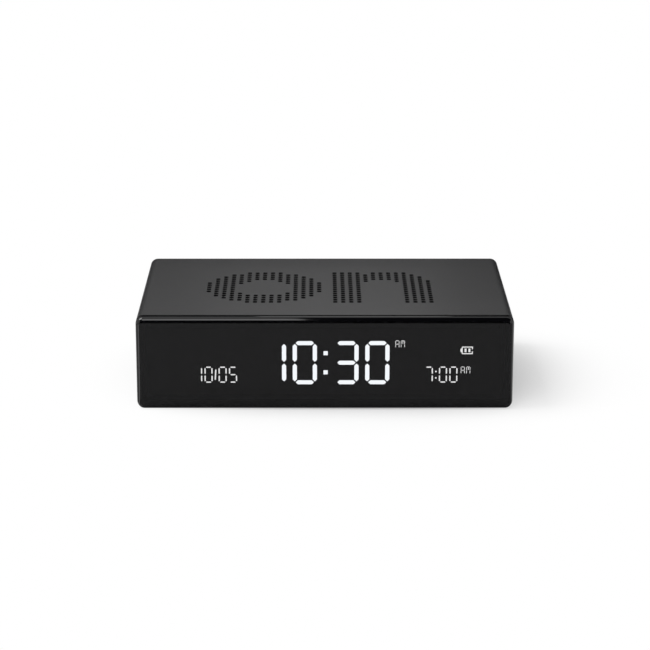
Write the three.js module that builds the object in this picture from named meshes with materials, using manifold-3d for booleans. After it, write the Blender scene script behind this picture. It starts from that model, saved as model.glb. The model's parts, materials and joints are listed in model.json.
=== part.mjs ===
// A flip alarm clock: a flat box with a display along its front face. The broad faces are its on and off
// faces, and the clock stands on one of them. Turning it over drops a ball to the other end of a tilt
// switch, which arms or silences the alarm. A satin sleeve is clamped between a glossy front lens and a
// rear cover by a chassis, which carries the display, the board, the cell and the switches.
//
// Lengths are in millimetres. X runs to the right as seen from the front, Y runs from the front to the
// back and Z runs up. The origin is the centre of the face that the clock stands on.

import * as THREE from "three";
import { mergeVertices } from "three/addons/utils/BufferGeometryUtils.js";
import Module from "manifold-3d";

const wasm = await Module();
wasm.setup();

// Body
const BODY_WIDTH = 115;
const BODY_DEPTH = 72;
const BODY_HEIGHT = 29.3;
const CORNER_RADIUS = 2.4;
const REAR_EDGE_RADIUS = 1.6;
const WALL = 2.4;
const INNER_CORNER_RADIUS = 1.2;

// Clearances
const FIT_GAP = 0.2;
const FACE_GAP = 0.05;
const CUT_OVERRUN = 1;

// Front lens, with a rim that plugs into the sleeve, and the dark seam behind it
const LENS_THICKNESS = 2.2;
const LENS_EDGE_RADIUS = 2.05;
const LENS_RIM_LENGTH = 3.2;
const LENS_RIM_WALL = 1.2;
const LENS_RIM_INNER_RADIUS = 0.6;
const SEAM_GAP = 0.6;
const SEAM_RECESS = 0.6;

// Display stack, from the lens backwards
const LCD_THICKNESS = 2.2;
const GUIDE_THICKNESS = 2;
const REFLECTOR_THICKNESS = 0.3;
const FRAME_WALL = 1;
const FRAME_BACK = 1.5;
const LED_BOARD_THICKNESS = 0.8;
const LED_HEIGHT = 0.9;
const LED_LENGTH = 2.8;
const LED_DEPTH = 1.3;
const LED_COUNT = 3;
const FRAME_BOSS_DIAMETER = 5;
const FRAME_BOSS_LENGTH = 4;
const FRAME_BOSS_INSET = 7.4;
const FLEX_WIDTH = 28;
const FLEX_THICKNESS = 0.2;
const FLEX_SIDE_GAP = 1.5;
const FLEX_BEND = 5;
const FLEX_STEPS = 10;

// Rear cover, let into a step in the sleeve
const COVER_STEP = 0.7;
const COVER_RECESS = 0.5;
const COVER_THICKNESS = 2.4;

// Buttons in the rear cover, two on each side of the charging port
const BUTTON_DIAMETER = 5.8;
const BUTTON_PROUD = 0.5;
const BUTTON_FLANGE_LIP = 0.9;
const BUTTON_FLANGE_THICKNESS = 1;
const BUTTON_EDGE = 0.25;
const BUTTON_PITCH = 12;
const BUTTON_GROUP_OFFSET = 24;
const BUTTON_TRAVEL = 0.4;

// Push switches behind the buttons
const SWITCH_WIDTH = 6;
const SWITCH_HEIGHT = 3.5;
const SWITCH_DEPTH = 3;
const PLUNGER_DIAMETER = 1.8;
const PLUNGER_PROUD = 0.9;
const PLUNGER_INSIDE = 1.2;

// Charging port
const PORT_WIDTH = 8.94;
const PORT_HEIGHT = 3.26;
const PORT_CORNER_RADIUS = 1.55;
const PORT_LENGTH = 9.3;
const PORT_SHELL = 0.3;
const PORT_BACK = 1.5;
const PORT_INSET = 0.2;
const TONGUE_WIDTH = 6.7;
const TONGUE_THICKNESS = 0.7;
const TONGUE_INSET = 1;

// Screws
const SCREW_HEAD_DIAMETER = 3.6;
const SCREW_HEAD_HEIGHT = 1.2;
const SCREW_SHANK_DIAMETER = 1.9;
const SCREW_CLEARANCE = 0.1;
const HEAD_CLEARANCE = 0.3;
const HEAD_SINK = 0.2;
const CROSS_SLOT_WIDTH = 0.6;
const CROSS_SLOT_SPAN = 2.3;
const CROSS_SLOT_DEPTH = 0.7;
const COVER_SCREW_LENGTH = 9;
const FRAME_SCREW_LENGTH = 5;
const BOARD_SCREW_LENGTH = 5.5;
const PILOT_SPARE = 0.8;

// Chassis
const CHASSIS_WALL = 1.6;
const CHASSIS_FLOOR = 1.6;
const CROSS_WALL = 1.6;
const FLEX_WINDOW_HEADROOM = 4;
const REAR_BOSS_DIAMETER = 5.4;
const REAR_BOSS_LENGTH = 11;
const REAR_BOSS_INSET = 3.4;
const POST_DIAMETER = 4.6;
const BATTERY_RIB = 1.2;
const BATTERY_RIB_HEIGHT = 3;

// Board
const BOARD_SIDE_ROOM = 12.1;
const BOARD_THICKNESS = 1.2;
const BOARD_FRONT_GAP = 3;
const POST_INSET = 4;
const REAR_POST_INSET = 9;

// Parts on the board, with places as shares of the board's width and depth from its centre
const MCU_SIDE = 10;
const MCU_HEIGHT = 1.4;
const MCU_PLACE_SHARES = [-0.03, -0.06];
const CRYSTAL_DIAMETER = 2;
const CRYSTAL_LENGTH = 6;
const CRYSTAL_PLACE_SHARES = [-0.03, -0.27];
const CAPACITOR_DIAMETER = 6.3;
const CAPACITOR_HEIGHT = 7.7;
const CAPACITOR_EDGE = 0.5;
const CAPACITOR_PLACE_SHARES = [-0.24, 0.12];
const BUZZER_DIAMETER = 12;
const BUZZER_HEIGHT = 8.5;
const BUZZER_WALL = 0.9;
const BUZZER_SOUND_HOLE = 2.5;
const BUZZER_DISC = 0.3;
const BUZZER_CHAMBER = 2;
const BUZZER_PLACE_SHARES = [0.28, -0.06];
const TILT_DIAMETER = 5;
const TILT_HEIGHT = 8;
const TILT_WALL = 0.4;
const TILT_BASE = 1.5;
const TILT_BALL_DIAMETER = 3.4;
const TILT_PLACE_SHARES = [-0.38, -0.08];
const FLEX_SOCKET_DEPTH = 4;
const FLEX_SOCKET_HEIGHT = 2;
const FLEX_SOCKET_MARGIN = 2;
const FLEX_INSERTION = 2;

// Touch sensor: a spring on the board that carries a foil against the sleeve
const SPRING_DIAMETER = 4.4;
const SPRING_WIRE = 0.6;
const SPRING_TURNS = 6;
const SPRING_PLACE_SHARES = [-0.22, -0.32];
const FOIL_WIDTH = 34;
const FOIL_DEPTH = 9;
const FOIL_THICKNESS = 0.2;

// Cell, its foam and its lead
const BATTERY_WIDTH = 50;
const BATTERY_DEPTH = 34;
const BATTERY_AIR_GAP = 0.9;
const BATTERY_CORNER = 1.5;
const FOAM_THICKNESS = 0.8;
const LEAD_DIAMETER = 1;
const LEAD_SPACING = 2;
const LEAD_NOTCH_ROOM = 0.5;
const PLUG_WIDTH = 5.6;
const PLUG_DEPTH = 6;
const PLUG_HEIGHT = 3.2;
const PLUG_DISTANCE = 4.5;
const HEADER_LENGTH = 3;

// How finely round shapes are cut
const CORNER_STEPS = 5;
const EDGE_STEPS = 4;
const ROUND_STEPS = 24;
const SMALL_ROUND_STEPS = 12;
const BALL_RINGS = 8;
const COIL_STEPS = 8;
const COIL_SIDES = 5;
const LEAD_SIDES = 8;
const LEAD_STEPS = 8;

// Places that follow from the sizes above
const frontY = -BODY_DEPTH / 2;
const backY = BODY_DEPTH / 2;
const midZ = BODY_HEIGHT / 2;
const innerWidth = BODY_WIDTH - 2 * WALL;
const innerHeight = BODY_HEIGHT - 2 * WALL;
const lensBackY = frontY + LENS_THICKNESS;
const sleeveFrontY = lensBackY + SEAM_GAP;
const rimWidth = innerWidth - 2 * FIT_GAP;
const rimHeight = innerHeight - 2 * FIT_GAP;

const frameWidth = rimWidth - 2 * (LENS_RIM_WALL + FIT_GAP);
const frameHeight = rimHeight - 2 * (LENS_RIM_WALL + FIT_GAP);
const lcdWidth = frameWidth - 2 * (FRAME_WALL + FIT_GAP);
const lcdHeight = frameHeight - 2 * (FRAME_WALL + FIT_GAP);
const lcdFrontY = lensBackY + FACE_GAP;
const guideFrontY = lcdFrontY + LCD_THICKNESS + FACE_GAP;
const reflectorFrontY = guideFrontY + GUIDE_THICKNESS + FACE_GAP;
const frameFloorY = reflectorFrontY + REFLECTOR_THICKNESS + FACE_GAP;
const frameBackY = frameFloorY + FRAME_BACK;
const frameBossX = frameWidth / 2 - FRAME_BOSS_INSET;

const coverOuterY = backY - COVER_RECESS;
const coverInnerY = coverOuterY - COVER_THICKNESS;
const coverOpeningWidth = innerWidth + 2 * COVER_STEP;
const coverOpeningHeight = innerHeight + 2 * COVER_STEP;
const coverScrewSeatY = coverOuterY - HEAD_SINK - SCREW_HEAD_HEIGHT;
const buttonOffsets = [-1, 1].flatMap((side) =>
  [-1, 1].map((place) => side * BUTTON_GROUP_OFFSET + (place * BUTTON_PITCH) / 2),
);
const buttonNames = ["time", "alarm", "minus", "plus"];
const buttonFlangeDiameter = BUTTON_DIAMETER + 2 * BUTTON_FLANGE_LIP;
const buttonFlangeInnerY = coverInnerY - FACE_GAP - BUTTON_FLANGE_THICKNESS;
const plungerTipY = buttonFlangeInnerY - FACE_GAP;
const switchRearY = plungerTipY - PLUNGER_PROUD;

const chassisWidth = innerWidth - 2 * FIT_GAP;
const chassisHeight = innerHeight - 2 * FIT_GAP;
const chassisBottomZ = WALL + FIT_GAP;
const chassisTopZ = chassisBottomZ + chassisHeight;
const chassisFrontY = frameBackY + FIT_GAP;
const chassisRearY = coverInnerY - FACE_GAP;
const floorTopZ = chassisBottomZ + CHASSIS_FLOOR;
const crossWallFrontY = frameBackY + FRAME_BOSS_LENGTH + FACE_GAP;
const crossWallBackY = crossWallFrontY + CROSS_WALL;
const rearBossX = chassisWidth / 2 - REAR_BOSS_INSET;
const rearBossZs = [chassisBottomZ + REAR_BOSS_INSET, chassisTopZ - REAR_BOSS_INSET];

const boardWidth = innerWidth - 2 * BOARD_SIDE_ROOM;
const boardFrontY = crossWallBackY + BOARD_FRONT_GAP;
const boardDepth = switchRearY - boardFrontY;
const boardCentreY = boardFrontY + boardDepth / 2;
const boardTopZ = midZ - PORT_HEIGHT / 2 - FACE_GAP;
const boardBottomZ = boardTopZ - BOARD_THICKNESS;
const postX = boardWidth / 2 - POST_INSET;
const postYs = [boardFrontY + POST_INSET, switchRearY - REAR_POST_INSET];
const flexWindowWidth = FLEX_WIDTH + 2 * FLEX_SIDE_GAP;
const flexSlotZ = FLEX_SOCKET_HEIGHT / 2;

const foamBottomZ = floorTopZ + FACE_GAP;
const batteryBottomZ = foamBottomZ + FOAM_THICKNESS + FACE_GAP;
const batteryHeight = boardBottomZ - BATTERY_AIR_GAP - batteryBottomZ;
const leadNotchHalf = (LEAD_SPACING + LEAD_DIAMETER) / 2 + LEAD_NOTCH_ROOM;

// Turns a closed geometry into a solid for cutting and joining.
function solidOf(geometry) {
  const bare = geometry.clone();
  bare.deleteAttribute("normal");
  bare.deleteAttribute("uv");
  const merged = mergeVertices(bare);
  const vertProperties = merged.attributes.position.array;
  const triVerts = new Uint32Array(merged.index.array);
  return new wasm.Manifold(new wasm.Mesh({ numProp: 3, vertProperties, triVerts }));
}

function geometryOf(solid) {
  const mesh = solid.getMesh();
  const geometry = new THREE.BufferGeometry();
  geometry.setAttribute("position", new THREE.BufferAttribute(mesh.vertProperties, 3));
  geometry.setIndex(new THREE.BufferAttribute(mesh.triVerts, 1));
  const faceted = geometry.toNonIndexed();
  faceted.computeVertexNormals();
  return faceted;
}

function cut(base, ...tools) {
  return geometryOf(tools.reduce((left, tool) => left.subtract(solidOf(tool)), solidOf(base)));
}

function join(base, ...additions) {
  return geometryOf(additions.reduce((whole, piece) => whole.add(solidOf(piece)), solidOf(base)));
}

// A rectangle with round corners, centred, as a shape or as a hole's path.
function roundedRectangle(width, height, radius, Outline = THREE.Shape) {
  const outline = new Outline();
  const x = width / 2 - radius;
  const y = height / 2 - radius;
  outline.absarc(x, y, radius, 0, Math.PI / 2);
  outline.absarc(-x, y, radius, Math.PI / 2, Math.PI);
  outline.absarc(-x, -y, radius, Math.PI, 1.5 * Math.PI);
  outline.absarc(x, -y, radius, 1.5 * Math.PI, 2 * Math.PI);
  outline.closePath();
  return outline;
}

// Extrudes an outline drawn in X and Z along Y, from startY for the length.
function alongY(shape, startY, length, curveSegments = CORNER_STEPS) {
  const geometry = new THREE.ExtrudeGeometry(shape, { depth: length, bevelEnabled: false, curveSegments });
  return geometry.rotateX(Math.PI / 2).translate(0, startY + length, 0);
}

// Extrudes an outline drawn in X and Y up from startZ for the height.
function alongZ(shape, startZ, height, curveSegments = CORNER_STEPS) {
  const geometry = new THREE.ExtrudeGeometry(shape, { depth: height, bevelEnabled: false, curveSegments });
  return geometry.translate(0, 0, startZ);
}

// A box from its two corners.
function boxBetween(low, high) {
  const size = high.map((value, axis) => value - low[axis]);
  const centre = high.map((value, axis) => (value + low[axis]) / 2);
  return new THREE.BoxGeometry(...size).translate(...centre);
}

// A round rod along Y, from startY for the length, with its axis through x and z.
function rodY(diameter, startY, length, x = 0, z = 0, steps = ROUND_STEPS) {
  const geometry = new THREE.CylinderGeometry(diameter / 2, diameter / 2, length, steps);
  return geometry.translate(x, startY + length / 2, z);
}

// A round rod along Z, from startZ for the height, with its axis through x and y.
function rodZ(diameter, startZ, height, x = 0, y = 0, steps = ROUND_STEPS) {
  const geometry = new THREE.CylinderGeometry(diameter / 2, diameter / 2, height, steps);
  return geometry.rotateX(Math.PI / 2).translate(x, y, startZ + height / 2);
}

// A round piece turned about Z from a profile of [radius, height] points that starts and ends on the axis.
function turnedZ(profile, steps = ROUND_STEPS) {
  const points = profile.map(([radius, height]) => new THREE.Vector2(radius, height));
  return new THREE.LatheGeometry(points, steps).rotateX(Math.PI / 2);
}

function material(color, roughness, metalness = 0, extra = {}) {
  return new THREE.MeshStandardMaterial({ color, roughness, metalness, ...extra });
}

const satinBlack = material(0x2b2b2c, 0.42);
const glossBlack = material(0x0b0b0c, 0.05, 0, { transparent: true, opacity: 0.6 });
const matteBlack = material(0x161617, 0.7);
const buttonBlack = material(0x202021, 0.5);
const displayBlack = material(0x101214, 0.15);
const clearAcrylic = material(0xdfe7ea, 0.1, 0, { transparent: true, opacity: 0.5 });
const whiteFilm = material(0xf2f2ee, 0.6);
const boardGreen = material(0x1f5c3a, 0.55);
const chipBlack = material(0x1b1b1d, 0.6);
const steel = material(0xb9bcc0, 0.35, 1);
const blackSteel = material(0x2a2a2c, 0.4, 1);
const brass = material(0xc9a24b, 0.35, 1);
const copper = material(0xb87347, 0.4, 1);
const gasketBlack = material(0x0a0a0a, 0.9);
const foamGrey = material(0x55575a, 0.95);
const cellSilver = material(0xa9adb2, 0.35, 0.6);
const redLead = material(0xb3221d, 0.5);
const blackLead = material(0x151515, 0.5);
const connectorWhite = material(0xe8e4d8, 0.5);
const flexAmber = material(0xb5772a, 0.4);

function piece(parent, name, geometry, finish, x = 0, y = 0, z = 0) {
  const mesh = new THREE.Mesh(geometry, finish);
  mesh.name = name;
  mesh.position.set(x, y, z);
  parent.add(mesh);
  return mesh;
}

function subAssembly(parent, x = 0, y = 0, z = 0) {
  const group = new THREE.Group();
  group.position.set(x, y, z);
  parent.add(group);
  return group;
}

// A block with the body's outline along Y, from startY to endY, with the edges of both ends rounded.
function roundedBlock(startY, endY, edgeRadius) {
  const block = new THREE.ExtrudeGeometry(roundedRectangle(BODY_WIDTH, BODY_HEIGHT, CORNER_RADIUS), {
    depth: endY - startY - 2 * edgeRadius,
    bevelThickness: edgeRadius,
    bevelSize: edgeRadius,
    bevelOffset: -edgeRadius,
    bevelSegments: EDGE_STEPS,
    curveSegments: CORNER_STEPS,
  });
  return block.rotateX(Math.PI / 2).translate(0, endY - edgeRadius, 0);
}

// A slab wider and higher than the body, which cuts off all of it between two places along Y.
function slab(startY, endY) {
  return boxBetween([-BODY_WIDTH, startY, -BODY_HEIGHT], [BODY_WIDTH, endY, BODY_HEIGHT]);
}

// The sleeve is a rectangular tube, open at both ends. Its back edges are rounded outside and have a step
// inside, which the rear cover bears on.
function sleeveGeometry() {
  const spareY = sleeveFrontY - 2 * REAR_EDGE_RADIUS;
  const bore = alongY(
    roundedRectangle(innerWidth, innerHeight, INNER_CORNER_RADIUS),
    sleeveFrontY - CUT_OVERRUN,
    backY - sleeveFrontY + 2 * CUT_OVERRUN,
  );
  const stepY = coverInnerY - FACE_GAP;
  const step = alongY(
    roundedRectangle(coverOpeningWidth, coverOpeningHeight, INNER_CORNER_RADIUS + COVER_STEP),
    stepY,
    backY - stepY + CUT_OVERRUN,
  );
  return cut(
    roundedBlock(spareY, backY, REAR_EDGE_RADIUS),
    slab(spareY - CUT_OVERRUN, sleeveFrontY),
    bore,
    step,
  );
}

// The lens is a plate with rounded front edges and a rim on its back, which plugs into the sleeve.
function lensGeometry() {
  const spareY = lensBackY + 2 * LENS_EDGE_RADIUS;
  const plate = cut(
    roundedBlock(frontY, spareY, LENS_EDGE_RADIUS),
    slab(lensBackY, spareY + CUT_OVERRUN),
  );
  const rimShape = roundedRectangle(rimWidth, rimHeight, INNER_CORNER_RADIUS - FIT_GAP);
  rimShape.holes.push(
    roundedRectangle(
      rimWidth - 2 * LENS_RIM_WALL,
      rimHeight - 2 * LENS_RIM_WALL,
      LENS_RIM_INNER_RADIUS,
      THREE.Path,
    ),
  );
  const rimSink = LENS_THICKNESS / 2;
  return join(plate, alongY(rimShape, lensBackY - rimSink, LENS_RIM_LENGTH + rimSink));
}

// The gasket lies in the seam, a little below the surface, so that the seam shows as a dark line.
function gasketGeometry() {
  const ringWidth = BODY_WIDTH - 2 * SEAM_RECESS;
  const ringHeight = BODY_HEIGHT - 2 * SEAM_RECESS;
  const shape = roundedRectangle(ringWidth, ringHeight, CORNER_RADIUS - SEAM_RECESS);
  shape.holes.push(roundedRectangle(innerWidth, innerHeight, INNER_CORNER_RADIUS, THREE.Path));
  return alongY(shape, lensBackY + FACE_GAP, SEAM_GAP - 2 * FACE_GAP);
}

// The display frame is a tray, open to the front, with two bosses on its back and a notch for the flex.
function displayFrameGeometry() {
  const outer = alongY(
    roundedRectangle(frameWidth, frameHeight, LENS_RIM_INNER_RADIUS),
    lcdFrontY,
    frameBackY - lcdFrontY,
  );
  const pocket = boxBetween(
    [-lcdWidth / 2 - FIT_GAP, lcdFrontY - CUT_OVERRUN, -lcdHeight / 2 - FIT_GAP],
    [lcdWidth / 2 + FIT_GAP, frameFloorY, lcdHeight / 2 + FIT_GAP],
  );
  const notch = boxBetween(
    [-flexWindowWidth / 2, lcdFrontY - CUT_OVERRUN, -frameHeight / 2 - CUT_OVERRUN],
    [flexWindowWidth / 2, frameBackY + CUT_OVERRUN, -frameHeight / 2 + FRAME_WALL + FIT_GAP],
  );
  const holeDiameter = SCREW_SHANK_DIAMETER + 2 * SCREW_CLEARANCE;
  const bossSink = FRAME_BACK / 2;
  const bosses = [-1, 1].map((side) =>
    rodY(FRAME_BOSS_DIAMETER, frameBackY - bossSink, FRAME_BOSS_LENGTH + bossSink, side * frameBossX),
  );
  const pilots = [-1, 1].map((side) =>
    rodY(
      holeDiameter,
      frameBackY,
      FRAME_BOSS_LENGTH + CUT_OVERRUN,
      side * frameBossX,
      0,
      SMALL_ROUND_STEPS,
    ),
  );
  return cut(join(cut(outer, pocket, notch), ...bosses), ...pilots);
}

// One strip of lamps stands at each end of the light guide, facing inwards.
function backlightStripGeometry(side) {
  const outerX = lcdWidth / 2;
  const boardX = outerX - LED_BOARD_THICKNESS;
  const halfDepth = GUIDE_THICKNESS / 2;
  const strip = boxBetween(
    [boardX, guideFrontY, -lcdHeight / 2],
    [outerX, guideFrontY + GUIDE_THICKNESS, lcdHeight / 2],
  );
  const lamps = [];
  for (let index = 0; index < LED_COUNT; index += 1) {
    const z = ((index + 0.5) / LED_COUNT - 0.5) * lcdHeight;
    const middleY = guideFrontY + halfDepth;
    lamps.push(
      boxBetween(
        [boardX - LED_HEIGHT, middleY - LED_DEPTH / 2, z - LED_LENGTH / 2],
        [boardX + LED_BOARD_THICKNESS / 2, middleY + LED_DEPTH / 2, z + LED_LENGTH / 2],
      ),
    );
  }
  const whole = join(strip, ...lamps);
  return side > 0 ? whole : whole.rotateZ(Math.PI).translate(0, 2 * guideFrontY + GUIDE_THICKNESS, 0);
}

// The flex runs under the display, bends up behind the frame and ends in its socket on the board.
function flexGeometry() {
  const bottomZ = -lcdHeight / 2 - FIT_GAP - FLEX_THICKNESS / 2;
  const endZ = boardTopZ + flexSlotZ - midZ;
  const endY = boardFrontY + FLEX_INSERTION;
  const straightEndY = frameBackY + FIT_GAP;
  const bend = new THREE.CubicBezierCurve(
    new THREE.Vector2(straightEndY, bottomZ),
    new THREE.Vector2(straightEndY + FLEX_BEND, bottomZ),
    new THREE.Vector2(boardFrontY - FLEX_BEND, endZ),
    new THREE.Vector2(boardFrontY, endZ),
  );
  const centre = [new THREE.Vector2(lcdFrontY, bottomZ), ...bend.getPoints(FLEX_STEPS)];
  centre.push(new THREE.Vector2(endY, endZ));
  const offset = (sign) =>
    centre.map((point, index) => {
      const before = centre[Math.max(index - 1, 0)];
      const after = centre[Math.min(index + 1, centre.length - 1)];
      const run = after.clone().sub(before).normalize();
      const half = (sign * FLEX_THICKNESS) / 2;
      return new THREE.Vector2(point.x - run.y * half, point.y + run.x * half);
    });
  const outline = new THREE.Shape([...offset(-1), ...offset(1).reverse()]);
  const ribbon = new THREE.ExtrudeGeometry(outline, { depth: FLEX_WIDTH, bevelEnabled: false });
  // The outline was drawn in Y and Z, so its axes are turned round in a cycle.
  const turn = new THREE.Matrix4().makeBasis(
    new THREE.Vector3(0, 1, 0),
    new THREE.Vector3(0, 0, 1),
    new THREE.Vector3(1, 0, 0),
  );
  return ribbon.applyMatrix4(turn).translate(-FLEX_WIDTH / 2, 0, 0);
}

// The rear cover has counterbored screw holes, a hole for each button and one for the port.
function coverGeometry() {
  const shape = roundedRectangle(
    coverOpeningWidth - 2 * FIT_GAP,
    coverOpeningHeight - 2 * FIT_GAP,
    INNER_CORNER_RADIUS + COVER_STEP - FIT_GAP,
  );
  const plate = alongY(shape, coverInnerY, COVER_THICKNESS);
  const portHole = alongY(
    roundedRectangle(
      PORT_WIDTH + 2 * FIT_GAP,
      PORT_HEIGHT + 2 * FIT_GAP,
      PORT_CORNER_RADIUS + FIT_GAP,
    ),
    coverInnerY - CUT_OVERRUN,
    COVER_THICKNESS + 2 * CUT_OVERRUN,
  );
  const buttonHoles = buttonOffsets.map((x) =>
    rodY(
      BUTTON_DIAMETER + 2 * FIT_GAP,
      coverInnerY - CUT_OVERRUN,
      COVER_THICKNESS + 2 * CUT_OVERRUN,
      x,
    ),
  );
  const screwHoles = rearScrewPlaces().flatMap(([x, z]) => [
    rodY(
      SCREW_SHANK_DIAMETER + 2 * HEAD_CLEARANCE,
      coverInnerY - CUT_OVERRUN,
      COVER_THICKNESS + 2 * CUT_OVERRUN,
      x,
      z - midZ,
      SMALL_ROUND_STEPS,
    ),
    rodY(
      SCREW_HEAD_DIAMETER + 2 * HEAD_CLEARANCE,
      coverScrewSeatY,
      SCREW_HEAD_HEIGHT + HEAD_SINK + CUT_OVERRUN,
      x,
      z - midZ,
    ),
  ]);
  return cut(plate, portHole, ...buttonHoles, ...screwHoles);
}

function rearScrewPlaces() {
  return rearBossZs.flatMap((z) => [-rearBossX, rearBossX].map((x) => [x, z]));
}

// A button cap with a flange that keeps it behind the cover. Its own origin is on the cover's inner face.
function buttonGeometry() {
  const capTop = COVER_THICKNESS + BUTTON_PROUD;
  const capRadius = BUTTON_DIAMETER / 2;
  const flangeRadius = buttonFlangeDiameter / 2;
  const flangeTop = -FACE_GAP;
  const flangeBottom = flangeTop - BUTTON_FLANGE_THICKNESS;
  const profile = [
    [0, flangeBottom],
    [flangeRadius, flangeBottom],
    [flangeRadius, flangeTop],
    [capRadius, flangeTop],
    [capRadius, capTop - BUTTON_EDGE],
    [capRadius - BUTTON_EDGE, capTop],
    [0, capTop],
  ];
  return turnedZ(profile).rotateX(-Math.PI / 2);
}

// A push switch's base, with the bore that its plunger slides in. Its own origin is on its rear face.
function switchBaseGeometry() {
  const base = boxBetween(
    [-SWITCH_WIDTH / 2, -SWITCH_DEPTH, FACE_GAP],
    [SWITCH_WIDTH / 2, 0, SWITCH_HEIGHT],
  );
  const boreDepth = PLUNGER_INSIDE + BUTTON_TRAVEL + FIT_GAP;
  const bore = rodY(
    PLUNGER_DIAMETER + 2 * FIT_GAP,
    -boreDepth,
    boreDepth + CUT_OVERRUN,
    0,
    midZ - boardTopZ,
    SMALL_ROUND_STEPS,
  );
  return cut(base, bore);
}

// The port's steel shell is a flat tube, closed at the back.
function portShellGeometry() {
  const outer = alongY(roundedRectangle(PORT_WIDTH, PORT_HEIGHT, PORT_CORNER_RADIUS), 0, PORT_LENGTH);
  const boreWidth = PORT_WIDTH - 2 * PORT_SHELL;
  const boreHeight = PORT_HEIGHT - 2 * PORT_SHELL;
  const bore = alongY(
    roundedRectangle(boreWidth, boreHeight, PORT_CORNER_RADIUS - PORT_SHELL),
    PORT_BACK,
    PORT_LENGTH,
  );
  return cut(outer, bore);
}

function portTongueGeometry() {
  return boxBetween(
    [-TONGUE_WIDTH / 2, PORT_BACK + FACE_GAP, -TONGUE_THICKNESS / 2],
    [TONGUE_WIDTH / 2, PORT_LENGTH - TONGUE_INSET, TONGUE_THICKNESS / 2],
  );
}

// A pan-head screw. Its head rises along +Y from its origin and its shank runs along -Y.
function screwGeometry(shankLength) {
  const head = rodY(SCREW_HEAD_DIAMETER, 0, SCREW_HEAD_HEIGHT);
  const shankSink = SCREW_HEAD_HEIGHT / 2;
  const shank = rodY(
    SCREW_SHANK_DIAMETER,
    -shankLength,
    shankLength + shankSink - CROSS_SLOT_DEPTH / 2,
    0,
    0,
    SMALL_ROUND_STEPS,
  );
  const slotFloor = SCREW_HEAD_HEIGHT - CROSS_SLOT_DEPTH;
  const slotTop = SCREW_HEAD_HEIGHT + CUT_OVERRUN;
  const halfSpan = CROSS_SLOT_SPAN / 2;
  const halfSlot = CROSS_SLOT_WIDTH / 2;
  const slots = [
    boxBetween([-halfSpan, slotFloor, -halfSlot], [halfSpan, slotTop, halfSlot]),
    boxBetween([-halfSlot, slotFloor, -halfSpan], [halfSlot, slotTop, halfSpan]),
  ];
  return cut(join(head, shank), ...slots);
}

// The chassis is a tray, open at the top and at both ends, with a cross wall that the display is screwed
// to, bosses for the rear cover's screws, posts for the board and a rib round the cell.
function chassisGeometry() {
  const outline = roundedRectangle(chassisWidth, chassisHeight, INNER_CORNER_RADIUS);
  const block = alongY(outline, chassisFrontY, chassisRearY - chassisFrontY).translate(0, 0, midZ);
  const bayHalfWidth = chassisWidth / 2 - CHASSIS_WALL;
  const bays = [
    [chassisFrontY - CUT_OVERRUN, crossWallFrontY],
    [crossWallBackY, chassisRearY + CUT_OVERRUN],
  ].map(([startY, endY]) =>
    boxBetween([-bayHalfWidth, startY, floorTopZ], [bayHalfWidth, endY, chassisTopZ + CUT_OVERRUN]),
  );
  const rearBosses = rearScrewPlaces().map(([x, z]) =>
    rodY(REAR_BOSS_DIAMETER, chassisRearY - REAR_BOSS_LENGTH, REAR_BOSS_LENGTH, x, z),
  );
  const postHeight = boardBottomZ - FACE_GAP - chassisBottomZ;
  const posts = boardScrewPlaces().map(([x, y]) => rodZ(POST_DIAMETER, chassisBottomZ, postHeight, x, y));
  const holeDiameter = SCREW_SHANK_DIAMETER + 2 * SCREW_CLEARANCE;
  const rearPilotLength = COVER_SCREW_LENGTH + PILOT_SPARE;
  const rearPilots = rearScrewPlaces().map(([x, z]) =>
    rodY(
      holeDiameter,
      chassisRearY - rearPilotLength,
      rearPilotLength + CUT_OVERRUN,
      x,
      z,
      SMALL_ROUND_STEPS,
    ),
  );
  const postPilotDepth = BOARD_SCREW_LENGTH + PILOT_SPARE - BOARD_THICKNESS;
  const postPilots = boardScrewPlaces().map(([x, y]) =>
    rodZ(
      holeDiameter,
      boardBottomZ - postPilotDepth,
      postPilotDepth + CUT_OVERRUN,
      x,
      y,
      SMALL_ROUND_STEPS,
    ),
  );
  const frameScrewHoles = [-1, 1].map((side) =>
    rodY(
      SCREW_SHANK_DIAMETER + 2 * HEAD_CLEARANCE,
      crossWallFrontY - CUT_OVERRUN,
      CROSS_WALL + 2 * CUT_OVERRUN,
      side * frameBossX,
      midZ,
      SMALL_ROUND_STEPS,
    ),
  );
  const flexWindow = boxBetween(
    [-flexWindowWidth / 2, chassisFrontY - CUT_OVERRUN, chassisBottomZ - CUT_OVERRUN],
    [flexWindowWidth / 2, crossWallBackY + FIT_GAP, boardTopZ + FLEX_WINDOW_HEADROOM],
  );
  const bare = join(cut(block, ...bays), ...rearBosses, ...posts, batteryRibGeometry());
  const leadNotch = boxBetween(
    [-BATTERY_WIDTH / 2 - FIT_GAP - BATTERY_RIB - CUT_OVERRUN, boardCentreY - leadNotchHalf, floorTopZ],
    [-BATTERY_WIDTH / 2, boardCentreY + leadNotchHalf, batteryBottomZ + batteryHeight],
  );
  return cut(bare, ...rearPilots, ...postPilots, ...frameScrewHoles, flexWindow, leadNotch);
}

// A low rectangular rib on the chassis floor, in which the cell lies. It is notched where the leads pass.
function batteryRibGeometry() {
  const wellWidth = BATTERY_WIDTH + 2 * FIT_GAP;
  const wellDepth = BATTERY_DEPTH + 2 * FIT_GAP;
  const ring = roundedRectangle(wellWidth + 2 * BATTERY_RIB, wellDepth + 2 * BATTERY_RIB, BATTERY_CORNER);
  ring.holes.push(roundedRectangle(wellWidth, wellDepth, BATTERY_CORNER - FIT_GAP, THREE.Path));
  const sink = CHASSIS_FLOOR / 2;
  return alongZ(ring, floorTopZ - sink, BATTERY_RIB_HEIGHT + sink).translate(0, boardCentreY, 0);
}

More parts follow.
